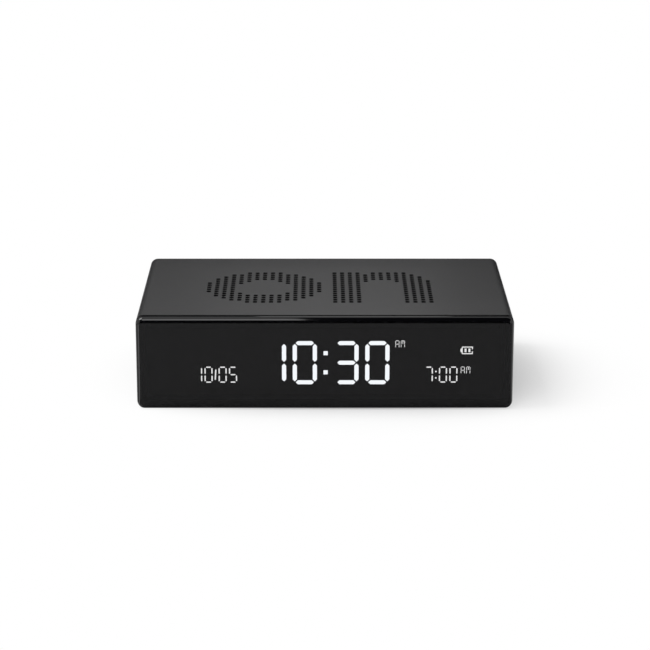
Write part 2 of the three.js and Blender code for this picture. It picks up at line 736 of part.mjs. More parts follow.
function boardScrewPlaces() {
  return postYs.flatMap((y) => [-postX, postX].map((x) => [x, y]));
}

function boardGeometry() {
  const plate = boxBetween(
    [-boardWidth / 2, -boardDepth / 2, -BOARD_THICKNESS],
    [boardWidth / 2, boardDepth / 2, 0],
  );
  const holes = boardScrewPlaces().map(([x, y]) =>
    rodZ(
      SCREW_SHANK_DIAMETER + 2 * HEAD_CLEARANCE,
      -BOARD_THICKNESS - CUT_OVERRUN,
      BOARD_THICKNESS + 2 * CUT_OVERRUN,
      x,
      y - boardCentreY,
      SMALL_ROUND_STEPS,
    ),
  );
  return cut(plate, ...holes);
}

// A place on the board from its shares of the board's width and depth.
function boardPlace([acrossShare, alongShare]) {
  return [acrossShare * boardWidth, alongShare * boardDepth];
}

function capacitorGeometry() {
  const radius = CAPACITOR_DIAMETER / 2;
  return turnedZ([
    [0, FACE_GAP],
    [radius, FACE_GAP],
    [radius, CAPACITOR_HEIGHT - CAPACITOR_EDGE],
    [radius - CAPACITOR_EDGE, CAPACITOR_HEIGHT],
    [0, CAPACITOR_HEIGHT],
  ]);
}

// The buzzer's case is open to the board, with a sound hole in its top and a ledge that holds the disc.
function buzzerCaseGeometry() {
  const boreDiameter = BUZZER_DIAMETER - 2 * BUZZER_WALL;
  const chamberTop = BUZZER_HEIGHT - BUZZER_WALL;
  const chamberBottom = chamberTop - BUZZER_CHAMBER;
  return cut(
    rodZ(BUZZER_DIAMETER, FACE_GAP, BUZZER_HEIGHT - FACE_GAP),
    rodZ(boreDiameter, -CUT_OVERRUN, chamberBottom + CUT_OVERRUN),
    rodZ(boreDiameter - 2 * BUZZER_WALL, chamberBottom - CUT_OVERRUN, BUZZER_CHAMBER + CUT_OVERRUN),
    rodZ(BUZZER_SOUND_HOLE, chamberTop - CUT_OVERRUN, BUZZER_WALL + 2 * CUT_OVERRUN, 0, 0, SMALL_ROUND_STEPS),
  );
}

function buzzerDiscGeometry() {
  const ledge = BUZZER_HEIGHT - BUZZER_WALL - BUZZER_CHAMBER;
  const diameter = BUZZER_DIAMETER - 2 * BUZZER_WALL - 2 * FIT_GAP;
  return rodZ(diameter, ledge - FACE_GAP - BUZZER_DISC, BUZZER_DISC);
}

// The tilt switch's can is a cup that stands on its mouth over the base.
function tiltCanGeometry() {
  const outer = rodZ(TILT_DIAMETER, TILT_BASE + FACE_GAP, TILT_HEIGHT - TILT_BASE - FACE_GAP);
  const bore = rodZ(
    TILT_DIAMETER - 2 * TILT_WALL,
    TILT_BASE - CUT_OVERRUN,
    TILT_HEIGHT - TILT_WALL - TILT_BASE + CUT_OVERRUN,
  );
  return cut(outer, bore);
}

// A compression spring with its wire along a helix about Z.
class SpringLine extends THREE.Curve {
  constructor(radius, height, turns) {
    super();
    Object.assign(this, { radius, height, turns });
  }

  getPoint(share, target = new THREE.Vector3()) {
    const angle = 2 * Math.PI * this.turns * share;
    return target.set(this.radius * Math.cos(angle), this.radius * Math.sin(angle), this.height * share);
  }
}

// Ring corners for a tube's section, as a closed shape.
function ringShape(diameter, sides) {
  const corners = [];
  for (let index = 0; index < sides; index += 1) {
    const angle = (2 * Math.PI * index) / sides;
    corners.push(new THREE.Vector2((diameter / 2) * Math.cos(angle), (diameter / 2) * Math.sin(angle)));
  }
  return new THREE.Shape(corners);
}

function touchSpringGeometry() {
  const bottom = SPRING_WIRE / 2 + FACE_GAP;
  const top = WALL + innerHeight - boardTopZ - FOIL_THICKNESS - 2 * FACE_GAP - SPRING_WIRE / 2;
  const line = new SpringLine((SPRING_DIAMETER - SPRING_WIRE) / 2, top - bottom, SPRING_TURNS);
  const wire = new THREE.ExtrudeGeometry(ringShape(SPRING_WIRE, COIL_SIDES), {
    steps: SPRING_TURNS * COIL_STEPS,
    extrudePath: line,
    bevelEnabled: false,
  });
  return wire.translate(0, 0, bottom);
}

// One conductor of the cell's lead, from the cell's end to the plug, in a gentle S.
function leadGeometry(spacing) {
  const start = new THREE.Vector3(-BATTERY_WIDTH / 2 - FACE_GAP, spacing, batteryHeight / 2);
  const plugZ = boardBottomZ - batteryBottomZ - FACE_GAP - PLUG_HEIGHT / 2;
  const end = new THREE.Vector3(start.x - PLUG_DISTANCE, spacing, plugZ);
  const reach = new THREE.Vector3(PLUG_DISTANCE / 2, 0, 0);
  const line = new THREE.CubicBezierCurve3(start, start.clone().sub(reach), end.clone().add(reach), end);
  return new THREE.ExtrudeGeometry(ringShape(LEAD_DIAMETER, LEAD_SIDES), {
    steps: LEAD_STEPS,
    extrudePath: line,
    bevelEnabled: false,
  });
}

const clock = new THREE.Group();

// Housing
const housing = subAssembly(clock, 0, 0, midZ);
piece(housing, "body_sleeve", sleeveGeometry(), satinBlack);
piece(housing, "front_lens", lensGeometry(), glossBlack);
piece(housing, "seam_gasket", gasketGeometry(), gasketBlack);
piece(housing, "rear_cover", coverGeometry(), matteBlack);

// Display
const display = subAssembly(clock, 0, 0, midZ);
piece(display, "display_frame", displayFrameGeometry(), matteBlack);
piece(
  display,
  "lcd_panel",
  boxBetween(
    [-lcdWidth / 2, lcdFrontY, -lcdHeight / 2],
    [lcdWidth / 2, lcdFrontY + LCD_THICKNESS, lcdHeight / 2],
  ),
  displayBlack,
);
const guideHalfWidth = lcdWidth / 2 - LED_BOARD_THICKNESS - LED_HEIGHT - FIT_GAP;
piece(
  display,
  "light_guide",
  boxBetween(
    [-guideHalfWidth, guideFrontY, -lcdHeight / 2],
    [guideHalfWidth, guideFrontY + GUIDE_THICKNESS, lcdHeight / 2],
  ),
  clearAcrylic,
);
piece(
  display,
  "reflector_sheet",
  boxBetween(
    [-guideHalfWidth, reflectorFrontY, -lcdHeight / 2],
    [guideHalfWidth, reflectorFrontY + REFLECTOR_THICKNESS, lcdHeight / 2],
  ),
  whiteFilm,
);
piece(display, "backlight_strip_left", backlightStripGeometry(-1), connectorWhite);
piece(display, "backlight_strip_right", backlightStripGeometry(1), connectorWhite);
piece(display, "display_flex", flexGeometry(), flexAmber);

// Chassis
const carrier = subAssembly(clock);
piece(carrier, "chassis", chassisGeometry(), matteBlack);
[-1, 1].forEach((side) => {
  const name = side < 0 ? "display_screw_left" : "display_screw_right";
  piece(
    carrier,
    name,
    screwGeometry(FRAME_SCREW_LENGTH),
    steel,
    side * frameBossX,
    crossWallBackY + FACE_GAP,
    midZ,
  );
});
rearScrewPlaces().forEach(([x, z], index) => {
  const screw = screwGeometry(COVER_SCREW_LENGTH);
  piece(carrier, `cover_screw_${index + 1}`, screw, blackSteel, x, coverScrewSeatY + FACE_GAP, z);
});

// Cell
const power = subAssembly(clock, 0, boardCentreY, batteryBottomZ);
piece(
  power,
  "battery_foam",
  alongZ(
    roundedRectangle(BATTERY_WIDTH, BATTERY_DEPTH, BATTERY_CORNER),
    -FOAM_THICKNESS - FACE_GAP,
    FOAM_THICKNESS,
  ),
  foamGrey,
);
piece(
  power,
  "battery_cell",
  alongZ(roundedRectangle(BATTERY_WIDTH, BATTERY_DEPTH, BATTERY_CORNER), 0, batteryHeight),
  cellSilver,
);
piece(power, "battery_lead_red", leadGeometry(LEAD_SPACING / 2), redLead);
piece(power, "battery_lead_black", leadGeometry(-LEAD_SPACING / 2), blackLead);
const plugRightX = -BATTERY_WIDTH / 2 - PLUG_DISTANCE - 2 * FACE_GAP;
const plugTopZ = boardBottomZ - batteryBottomZ - FACE_GAP;
piece(
  power,
  "battery_plug",
  boxBetween(
    [plugRightX - PLUG_WIDTH, -PLUG_DEPTH / 2, plugTopZ - PLUG_HEIGHT],
    [plugRightX, PLUG_DEPTH / 2, plugTopZ],
  ),
  connectorWhite,
);
piece(
  power,
  "battery_header",
  boxBetween(
    [plugRightX - PLUG_WIDTH - FACE_GAP - HEADER_LENGTH, -PLUG_DEPTH / 2, plugTopZ - PLUG_HEIGHT],
    [plugRightX - PLUG_WIDTH - FACE_GAP, PLUG_DEPTH / 2, plugTopZ],
  ),
  connectorWhite,
);

// Board and what is soldered to it
const board = subAssembly(clock, 0, boardCentreY, boardTopZ);
piece(board, "main_board", boardGeometry(), boardGreen);
boardScrewPlaces().forEach(([x, y], index) => {
  const screw = piece(
    board,
    `board_screw_${index + 1}`,
    screwGeometry(BOARD_SCREW_LENGTH),
    steel,
    x,
    y - boardCentreY,
    FACE_GAP,
  );
  screw.rotation.x = Math.PI / 2;
});
const half = MCU_SIDE / 2;
piece(
  board,
  "mcu_chip",
  boxBetween([-half, -half, FACE_GAP], [half, half, MCU_HEIGHT]),
  chipBlack,
  ...boardPlace(MCU_PLACE_SHARES),
);
const crystal = piece(
  board,
  "quartz_crystal",
  rodY(CRYSTAL_DIAMETER, -CRYSTAL_LENGTH / 2, CRYSTAL_LENGTH, 0, 0, SMALL_ROUND_STEPS),
  steel,
  ...boardPlace(CRYSTAL_PLACE_SHARES),
  CRYSTAL_DIAMETER / 2 + FACE_GAP,
);
crystal.rotation.z = Math.PI / 2;
piece(board, "filter_capacitor", capacitorGeometry(), chipBlack, ...boardPlace(CAPACITOR_PLACE_SHARES));
piece(board, "buzzer_case", buzzerCaseGeometry(), chipBlack, ...boardPlace(BUZZER_PLACE_SHARES));
piece(board, "buzzer_disc", buzzerDiscGeometry(), brass, ...boardPlace(BUZZER_PLACE_SHARES));
const tiltPlace = boardPlace(TILT_PLACE_SHARES);
const tiltBase = rodZ(TILT_DIAMETER, FACE_GAP, TILT_BASE - FACE_GAP);
piece(board, "tilt_switch_base", tiltBase, chipBlack, ...tiltPlace);
piece(board, "tilt_switch_can", tiltCanGeometry(), steel, ...tiltPlace);
piece(
  board,
  "tilt_switch_ball",
  new THREE.SphereGeometry(TILT_BALL_DIAMETER / 2, SMALL_ROUND_STEPS, BALL_RINGS),
  brass,
  ...tiltPlace,
  TILT_BASE + FACE_GAP + TILT_BALL_DIAMETER / 2,
);
piece(board, "touch_spring", touchSpringGeometry(), steel, ...boardPlace(SPRING_PLACE_SHARES));
const foilTop = WALL + innerHeight - boardTopZ - FACE_GAP;
piece(
  board,
  "touch_foil",
  boxBetween(
    [-FOIL_WIDTH / 2, -FOIL_DEPTH / 2, foilTop - FOIL_THICKNESS],
    [FOIL_WIDTH / 2, FOIL_DEPTH / 2, foilTop],
  ),
  copper,
  ...boardPlace(SPRING_PLACE_SHARES),
);
const socketHalfWidth = FLEX_WIDTH / 2 + FLEX_SOCKET_MARGIN;
const flexSocket = cut(
  boxBetween([-socketHalfWidth, 0, FACE_GAP], [socketHalfWidth, FLEX_SOCKET_DEPTH, FLEX_SOCKET_HEIGHT]),
  boxBetween(
    [-FLEX_WIDTH / 2 - FIT_GAP, -CUT_OVERRUN, flexSlotZ - FLEX_THICKNESS / 2 - FIT_GAP],
    [FLEX_WIDTH / 2 + FIT_GAP, FLEX_INSERTION + FIT_GAP, flexSlotZ + FLEX_THICKNESS / 2 + FIT_GAP],
  ),
);
piece(board, "flex_socket", flexSocket, connectorWhite, 0, -boardDepth / 2);
const portStart = coverOuterY - PORT_INSET - PORT_LENGTH - boardCentreY;
piece(board, "port_shell", portShellGeometry(), steel, 0, portStart, midZ - boardTopZ);
piece(board, "port_tongue", portTongueGeometry(), chipBlack, 0, portStart, midZ - boardTopZ);

// Buttons, each with its switch
buttonOffsets.forEach((x, index) => {
  const name = buttonNames[index];
  piece(clock, `${name}_button`, buttonGeometry(), buttonBlack, x, coverInnerY, midZ);
  piece(
    board,
    `${name}_switch_base`,
    switchBaseGeometry(),
    chipBlack,
    x,
    switchRearY - boardCentreY,
  );
  piece(
    clock,
    `${name}_switch_plunger`,
    rodY(
      PLUNGER_DIAMETER,
      switchRearY - PLUNGER_INSIDE,
      PLUNGER_PROUD + PLUNGER_INSIDE,
      0,
      0,
      SMALL_ROUND_STEPS,
    ),
    connectorWhite,
    x,
    0,
    midZ,
  );
});

export default clock;
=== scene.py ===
# %% [markdown]
# # A reversible block clock
#
# The clock is a flat satin tube with a smoked lens over its front end. White segments shine
# through the lens, and each broad face carries a word pressed in as small dimples: "on" on one
# face and "off" on the other. Whichever face is up says whether the alarm is armed. The buttons
# and the charging port are in the back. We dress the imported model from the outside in, and end
# with the light.

# %% Load the fixed frame
import json
import math

import bmesh
import bpy
from mathutils import Matrix, Vector, noise


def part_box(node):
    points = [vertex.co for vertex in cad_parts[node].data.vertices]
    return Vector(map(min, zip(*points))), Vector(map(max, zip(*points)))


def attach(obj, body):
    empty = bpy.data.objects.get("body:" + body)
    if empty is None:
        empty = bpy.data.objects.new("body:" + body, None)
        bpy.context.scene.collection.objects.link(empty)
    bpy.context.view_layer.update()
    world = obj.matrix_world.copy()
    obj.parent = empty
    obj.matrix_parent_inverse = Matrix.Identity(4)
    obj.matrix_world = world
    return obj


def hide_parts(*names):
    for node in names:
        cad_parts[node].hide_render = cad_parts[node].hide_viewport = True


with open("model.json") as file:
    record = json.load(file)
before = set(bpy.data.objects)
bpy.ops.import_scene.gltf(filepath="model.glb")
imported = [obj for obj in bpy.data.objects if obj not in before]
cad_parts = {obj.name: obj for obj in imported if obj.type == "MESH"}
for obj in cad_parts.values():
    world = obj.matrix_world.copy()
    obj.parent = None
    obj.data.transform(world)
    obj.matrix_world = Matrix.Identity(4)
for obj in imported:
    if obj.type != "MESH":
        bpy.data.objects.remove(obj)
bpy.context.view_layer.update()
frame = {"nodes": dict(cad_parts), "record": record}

MM = 0.001

# %% [markdown]
# ## Camera
#
# A product picture like this one is taken with a long lens from a little above, so that the block
# looks calm and its edges run nearly straight back. The camera's place and angles were solved from
# the block's outline: 0.7 m away, 16 degrees down, almost square on.

# %% Camera
CAMERA_PLACE = (-3.06, -699.06, 221.27)
CAMERA_PITCH, CAMERA_YAW, CAMERA_ROLL = 16.33, 0.265, 0.054
CAMERA_LENS, SENSOR_WIDTH = 126.42, 36

camera = bpy.data.objects.new("camera", bpy.data.cameras.new("camera"))
camera.data.lens = CAMERA_LENS
camera.data.sensor_width = SENSOR_WIDTH
camera.matrix_world = (
    Matrix.Translation(Vector(CAMERA_PLACE) * MM)
    @ Matrix.Rotation(-math.radians(CAMERA_YAW), 4, "Z")
    @ Matrix.Rotation(-math.radians(CAMERA_PITCH), 4, "X")
    @ Matrix.Rotation(-math.radians(CAMERA_ROLL), 4, "Y")
    @ Matrix.Rotation(math.radians(90), 4, "X")
)
bpy.context.scene.collection.objects.link(camera)
bpy.context.scene.camera = camera
bpy.context.scene.view_settings.view_transform = "Standard"
print("camera looks from", [round(v, 3) for v in camera.matrix_world.translation])

# %% [markdown]
# ## Materials
#
# Colours are written as the hex values one would pick off a screen, while shaders count in linear
# light, so one function turns them. Another adds a node with its settings and links, and every
# pattern is built from it. Patterns read Object coordinates, which are metres in the clock, as
# each piece keeps its place in its mesh: a noise scale is one over the grain's size.

# %% Colour and node helpers
CLOUD_SIZE, ROUGH_SPREAD = 15, 0.04


def linear(hex_colour):
    """The linear colour, with alpha 1, of an sRGB hex value such as "1c1c1d"."""
    shares = [int(hex_colour[i : i + 2], 16) / 255 for i in (0, 2, 4)]
    return [s / 12.92 if s <= 0.04045 else ((s + 0.055) / 1.055) ** 2.4 for s in shares] + [1]


def add_node(tree, kind, settings=None, **inputs):
    """Adds a shader node. Inputs are named by their sockets, spaces as underscores, or in_0 and so
    on. A socket given as a value is linked, and anything else becomes the socket's own value."""
    made = tree.nodes.new("ShaderNode" + kind)
    for name, value in (settings or {}).items():
        setattr(made, name, value)
    for name, value in inputs.items():
        key = int(name[3:]) if name.startswith("in_") else name.replace("_", " ")
        if isinstance(value, bpy.types.NodeSocket):
            tree.links.new(value, made.inputs[key])
        else:
            made.inputs[key].default_value = value
    return made


def new_material(name, **sockets):
    """A material with a lone Principled shader, whose sockets are set by name, and its tree."""
    material = bpy.data.materials.new(name)
    material.use_nodes = True
    shader = material.node_tree.nodes["Principled BSDF"]
    for key, value in sockets.items():
        shader.inputs[key.replace("_", " ")].default_value = value
    return material, material.node_tree


def connect(tree, value, socket):
    """Links a value to a socket of the material's Principled shader."""
    tree.links.new(value, tree.nodes["Principled BSDF"].inputs[socket])


def own_place(tree):
    """The place in the object's own coordinates, in metres."""
    return add_node(tree, "TexCoord").outputs["Object"]


def calculate(tree, operation, first, second=0.0, kind="Math"):
    """The result of one Math or VectorMath node."""
    return add_node(tree, kind, {"operation": operation}, in_0=first, in_1=second).outputs[0]


def grain_noise(tree, size, detail):
    """Noise with features of a size in millimetres."""
    made = add_node(tree, "TexNoise", Vector=own_place(tree), Scale=1 / (size * MM), Detail=detail)
    return made.outputs["Fac"]


def colour_between(tree, share, dark, light, socket="Base Color"):
    """Gives a colour between two hex values, picked by a share."""
    colour = add_node(tree, "Mix", {"data_type": "RGBA"}, Factor=share)
    colour.inputs[6].default_value, colour.inputs[7].default_value = linear(dark), linear(light)
    connect(tree, colour.outputs[2], socket)


def rough_between(tree, share, low, high):
    """Gives a roughness between two values, picked by a share."""
    rough = add_node(tree, "MapRange", Value=share, To_Min=low, To_Max=high)
    connect(tree, rough.outputs["Result"], "Roughness")


def dent(tree, height, depth):
    """Dents the surface by a depth in millimetres."""
    bump = add_node(tree, "Bump", Height=height, Distance=depth * MM, Strength=1.0)
    connect(tree, bump.outputs["Normal"], "Normal")


def grained(name, dark, light, grain, depth, roughness, shine=0.5, metal=0.0):
    """A surface with a fine grain, in millimetres, and slow clouds of slightly lighter colour.
    The grain moves the roughness a little and dents the surface by depth."""
    material, tree = new_material(name, Specular_IOR_Level=shine, Metallic=metal)
    fine = grain_noise(tree, grain, 2.0)
    clouds = grain_noise(tree, CLOUD_SIZE, 3.0)
    colour_between(tree, clouds, dark, light)
    rough_between(tree, fine, roughness - ROUGH_SPREAD, roughness + ROUGH_SPREAD)
    dent(tree, fine, depth)
    return material


# %% [markdown]
# ## Moulded plastics
#
# The tube, the cover and the chassis are ABS. Their mould was spark-eroded, which leaves a dull
# skin of tiny craters, a quarter to half a millimetre wide: it turns a mirror into a soft sheen.
# The craters are dents in the shading, because as geometry they would be millions of faces. The
# dimples' insides are painted darker and duller than the face: painted shade for the light that
# hardly finds its way out of them. The buttons were moulded in a smoother cavity, so the eye finds
# them glossier than the cover around them. The ring in the seam is black rubber, kept near black
# and without any shine as painted shade for the seam's dark line.

# %% Plastics
satin_abs = grained("satin_abs", "1d1d1e", "222223", 0.28, 0.004, 0.42, shine=0.45)
# The dimples' darker, duller insides are painted shade for their recesses.
pit_painted_shade_abs = grained("dimple_pit_painted_shade", "0d0d0e", "121213", 0.3, 0.006, 0.75, shine=0.15)
eroded_abs = grained("eroded_abs", "161617", "1b1b1c", 0.35, 0.012, 0.62)
button_abs = grained("button_abs", "1e1e20", "232325", 0.22, 0.003, 0.34)
chassis_abs = grained("chassis_abs", "202022", "28282a", 0.5, 0.012, 0.66)
# The seam rubber is near black and without shine: partly the real gasket, partly painted shade for
# the seam's dark line.
seam_rubber = grained("seam_rubber_painted_shade", "050505", "080809", 0.4, 0.01, 0.8, shine=0.0)
print(len(bpy.data.materials), "plastics and rubber")

# %% [markdown]
# ## Printing, metals and foam
#
# The marks on the back are pad printed in a thin pale ink. The port's shell and the board screws
# are nickel-plated steel, whose fine unevenness blurs what it mirrors. The cover screws are
# blackened, so they disappear against the cover. The cell lies on grey open-cell foam. A metal
# needs only its colour, its roughness and that slight unevenness, since what it shows is mostly
# the room.

# %% Metals, ink and foam
nickel_steel = grained("nickel_plated_steel", "b4b6b9", "c3c4c6", 0.15, 0.002, 0.3, metal=1.0)
black_steel = grained("blackened_steel", "2b2b2d", "363638", 0.2, 0.003, 0.42, metal=1.0)
brass = grained("turned_brass", "b99a52", "cbae68", 0.3, 0.002, 0.28, metal=1.0)
copper_foil = grained("rolled_copper", "b97c5a", "c98f6d", 0.5, 0.004, 0.35, metal=1.0)
gold_plate = grained("gold_plated_contact", "d0a94e", "dcb965", 0.2, 0.001, 0.22, metal=1.0)
pouch_foil = grained("aluminium_pouch_foil", "a5a8ac", "b9bcc0", 2.5, 0.06, 0.36, metal=0.9)
pale_ink = grained("pad_print_ink", "9a9a9b", "a8a8a8", 0.12, 0.002, 0.6)
black_ink = grained("black_border_ink", "0a0a0b", "0d0d0e", 0.3, 0.001, 0.6, shine=0.1)
cell_foam = grained("open_cell_foam", "3e4043", "5a5c60", 0.45, 0.25, 0.95, shine=0.2)
print(len(bpy.data.materials), "materials with metals, ink and foam")

# %% [markdown]
# ## The electronics
#
# Chips and switches are moulded in black epoxy, with a faint frost from the mould. Connectors are
# ivory nylon, the leads have silicone sleeving, and the reflector is a white film. The board is
# glass fibre under green solder mask, where a brick pattern with joints 0.2 mm wide stands for the
# copper tracks that show paler through it. The ribbon is amber film with copper tracks 0.8 mm
# apart. The light guide is clear acrylic with a grid of etched dots that scatter the light
# forward, and a lamp strip is pale resin, yellow where its lamps sit.

# %% Plain electronic finishes
epoxy = grained("moulded_epoxy", "18181a", "1e1e20", 0.3, 0.006, 0.55)
ivory_nylon = grained("ivory_nylon", "dcd6c4", "e6e1d2", 0.6, 0.004, 0.45)
white_film = grained("white_reflector_film", "e9e9e6", "f1f1ee", 0.8, 0.003, 0.55)
red_silicone = grained("red_silicone", "a82620", "b5302a", 0.5, 0.004, 0.4)
black_silicone = grained("black_silicone", "161616", "1c1c1c", 0.5, 0.004, 0.4)
lcd_glass = grained("polarised_glass", "0a0a0b", "0d0d0e", 0.4, 0.0005, 0.25, shine=0.1)
print(len(bpy.data.materials), "materials with the electronics")

# %% Board, ribbon and lamps
TRACK_GAP, TRACK_LENGTH, TRACK_PITCH, RIBBON_PITCH = 0.2, 7, 1.6, 0.8
DOT_PITCH, DOT_SHARE, LAMP_REACH, FINE_GRAIN, FINE_SPREAD = 1.2, 0.3, 51.5, 0.3, 0.05
WAVE_TURN = 20  # radians that a wave texture turns in a length of one at scale one


def two_tone(name, dark, light, roughness, pattern, **sockets):
    """A material whose colour goes from dark to light by a pattern of the object's own place."""
    material, tree = new_material(name, **sockets)
    colour_between(tree, pattern(tree, own_place(tree)), dark, light)
    fine = grain_noise(tree, FINE_GRAIN, 2.0)
    rough_between(tree, fine, roughness - FINE_SPREAD, roughness + FINE_SPREAD)
    return material


def tracks(tree, place):
    return add_node(
        tree, "TexBrick", Vector=place, Scale=1.0, Mortar_Size=TRACK_GAP * MM, Mortar_Smooth=0.1,
        Brick_Width=TRACK_LENGTH * MM, Row_Height=TRACK_PITCH * MM,
    ).outputs["Fac"]


def ribbon_tracks(tree, place):
    scale = math.tau / (WAVE_TURN * RIBBON_PITCH * MM)
    bands = add_node(tree, "TexWave", {"bands_direction": "X"}, Vector=place, Scale=scale)
    crest = add_node(tree, "MapRange", Value=bands.outputs["Fac"], From_Min=0.45, From_Max=0.6)
    return crest.outputs["Result"]


def lamp_places(tree, place):
    across = add_node(tree, "SeparateXYZ", Vector=place).outputs["X"]
    return calculate(tree, "LESS_THAN", calculate(tree, "ABSOLUTE", across), LAMP_REACH * MM)


def etched_dots(tree, place):
    cells = add_node(tree, "TexVoronoi", Vector=place, Scale=1 / (DOT_PITCH * MM), Randomness=0.0)
    return calculate(tree, "LESS_THAN", cells.outputs["Distance"], DOT_SHARE)


solder_mask = two_tone("green_solder_mask", "1c4a30", "2f6b47", 0.38, tracks)
flex_film = two_tone("amber_flex_film", "9a5f1e", "c48a45", 0.3, ribbon_tracks)
lamp_strip = two_tone("lamp_strip_resin", "e6e2d4", "e3c75c", 0.4, lamp_places)
guide_acrylic = two_tone(
    "clear_guide_acrylic", "dfe6e8", "ffffff", 0.12, etched_dots, Alpha=0.35, IOR=1.49
)
print(f"ribbon tracks every {RIBBON_PITCH} mm, etched dots every {DOT_PITCH} mm")

# %% [markdown]
# ## The smoked lens and the lit segments
#
# The lens is tinted acrylic, polished on its outside: black and glossy until a segment lights up
# behind it. Real refraction would be noisy and isn't needed on a plate this thin, so the tint is
# the alpha of the outer skin, and the inner faces are nearly clear, or the light would be dimmed
# twice. The rounded edge is opaque: seen edge on, light would have to cross the whole tinted
# plate. The last third of a millimetre at the back is matt, as ground plastic is. Polished plastic
# is never quite even, so a wide and shallow noise gives its reflections a slight life.

# %% Lens and light materials
RIPPLE_SIZE, LIGHT_WAVE = 30, 40


def polished(name, colour, alpha, dust_size, haze, ripple_depth, **sockets):
    """Polished acrylic: fine dust moves its gloss, and a wide ripple bends what it mirrors."""
    sockets.update(Base_Color=linear(colour), Alpha=alpha, IOR=1.49)
    material, tree = new_material(name, **sockets)
    rough_between(tree, grain_noise(tree, dust_size, 4.0), *haze)
    dent(tree, grain_noise(tree, RIPPLE_SIZE, 1.0), ripple_depth)
    return material


smoked_acrylic = polished("smoked_acrylic", "08080a", 0.8, 0.8, (0.03, 0.06), 0.004)
smoked_edge = polished(
    "smoked_acrylic_edge", "070709", 1.0, 0.8, (0.03, 0.06), 0.004, Specular_IOR_Level=0.4
)
clear_inside = polished("clear_inside", "0a0a0b", 0.06, 1.5, (0.1, 0.2), 0.001)
ground_rim = grained("ground_acrylic_rim", "0a0a0b", "0e0e0f", 0.25, 0.004, 0.55, shine=0.3)


def lit_film(name, strength, dark, light):
    """Light of the segments, a little uneven as the lamps are at the two ends."""
    material, tree = new_material(
        name, Base_Color=linear("101114"), Roughness=0.5, Emission_Strength=strength
    )
    colour_between(tree, grain_noise(tree, LIGHT_WAVE, 0.0), dark, light, "Emission Color")
    return material


large_light = lit_film("large_segment_light", 5.2, "f4f8ff", "fafdff")
small_light = lit_film("small_segment_light", 4.3, "f2f2f2", "fafafa")
print(len(bpy.data.materials), "materials with the lens and the light")

# %% [markdown]
# ## Rings and lofts
#
# Nearly every outside piece of this clock is a rounded rectangle pulled along one axis. We bevel
# the four corners of a square, keep only its edges, and call that a ring. A row of numbers says
# how far each ring is inset, how round its corners are and how deep it lies. Bridging one ring to
# the next makes walls, and filling a ring closes an end. This gives clean strips of quads that
# follow the shape, where cutting boxes with booleans would leave ragged triangles.


# %% Ring helpers
SAME_PLACE = 1e-7  # metres within which two points count as one


def upright_at(x, y, z):
    """Turns a flat shape to face the front at x, y, z, in millimetres."""
    return Matrix.Translation(Vector((x, y, z)) * MM) @ Matrix.Rotation(math.radians(90), 4, "X")


def bevel(bm, geom, width, steps, affect="EDGES"):
    """Rounds edges or corners by a width in millimetres."""
    bmesh.ops.bevel(
        bm, geom=geom, offset=width * MM, segments=steps, profile=0.5, affect=affect, material=-1
    )


def rounded_face(bm, stand, width, height, radius, steps, above=-math.inf):
    """A flat face in millimetres, turned and placed by stand. Its corners above a height in metres
    are rounded."""
    before = set(bm.faces)
    matrix = stand @ Matrix.Diagonal((width * MM, height * MM, 1, 1))
    made = bmesh.ops.create_grid(bm, x_segments=1, y_segments=1, size=0.5, matrix=matrix)
    if radius:
        bevel(bm, [v for v in made["verts"] if v.co.z > above], radius, steps, "VERTICES")
    return next(f for f in bm.faces if f not in before)


def rings(bm, width, height, rows, x=0.0, z=0.0, steps=8, upper=False):
    """Edges of upright rounded rectangles about one axis, in millimetres. Each row is an inset, a
    corner radius and a depth. Upper rounds only the two upper corners."""
    above = z * MM if upper else -math.inf
    made = []
    for inset, radius, y in rows:
        wide, high = width - 2 * inset, height - 2 * inset
        face = rounded_face(bm, upright_at(x, y, z), wide, high, radius, steps, above)
        made.append(list(face.edges))
        bmesh.ops.delete(bm, geom=[face], context="FACES_ONLY")
    return made


def discs(bm, rows, place, sides=32):
    """Edges of upright circles about one axis. Each row is a diameter and a depth."""
    made = []
    for diameter, y in rows:
        verts = bmesh.ops.create_circle(
            bm, segments=sides, radius=diameter / 2 * MM, matrix=upright_at(place.x, y, place.z)
        )["verts"]
        made.append(list({e for v in verts for e in v.link_edges}))
    return made


def loft(bm, stack, fill=(), closed=False):
    """Bridges each ring of a stack to the next, and fills the rings named, or joins the last to
    the first. Two rings in one plane are filled between, because a bridge may twist there."""
    for a, b in zip(stack, stack[1:] + stack[:1] if closed else stack[1:]):
        depths = [v.co.y for e in a + b for v in e.verts]
        if max(depths) - min(depths) < SAME_PLACE:
            bmesh.ops.triangle_fill(bm, use_beauty=True, edges=a + b)
        else:
            bmesh.ops.bridge_loops(bm, edges=a + b)
    for end in fill:
        bmesh.ops.edgeloop_fill(bm, edges=stack[end])


def make_object(name, bm, materials):
    """Turns a bmesh, which is used up, into an object of the scene."""
    mesh = bpy.data.meshes.new(name)
    bm.to_mesh(mesh)
    bm.free()
    for material in materials:
        mesh.materials.append(material)
    made = bpy.data.objects.new(name, mesh)
    bpy.context.scene.collection.objects.link(made)
    return made


def add_piece(name, bm, materials, replaces=None, body="housing", smooth=30, weighted=True):
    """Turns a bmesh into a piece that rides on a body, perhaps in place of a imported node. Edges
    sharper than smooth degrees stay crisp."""
    bmesh.ops.remove_doubles(bm, verts=bm.verts, dist=SAME_PLACE)
    bmesh.ops.recalc_face_normals(bm, faces=bm.faces)
    open_edges = sum(not e.is_manifold for e in bm.edges)
    piece = make_object(name, bm, materials)
    mesh = piece.data
    mesh.polygons.foreach_set("use_smooth", [True] * len(mesh.polygons))
    mesh.set_sharp_from_angle(angle=math.radians(smooth))
    if weighted:
        piece.modifiers.new("weighted", "WEIGHTED_NORMAL").keep_sharp = True
    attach(piece, body)
    if replaces:
        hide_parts(replaces)
    print(f"{name}: {len(mesh.polygons)} faces, {open_edges} open edges")
    return piece


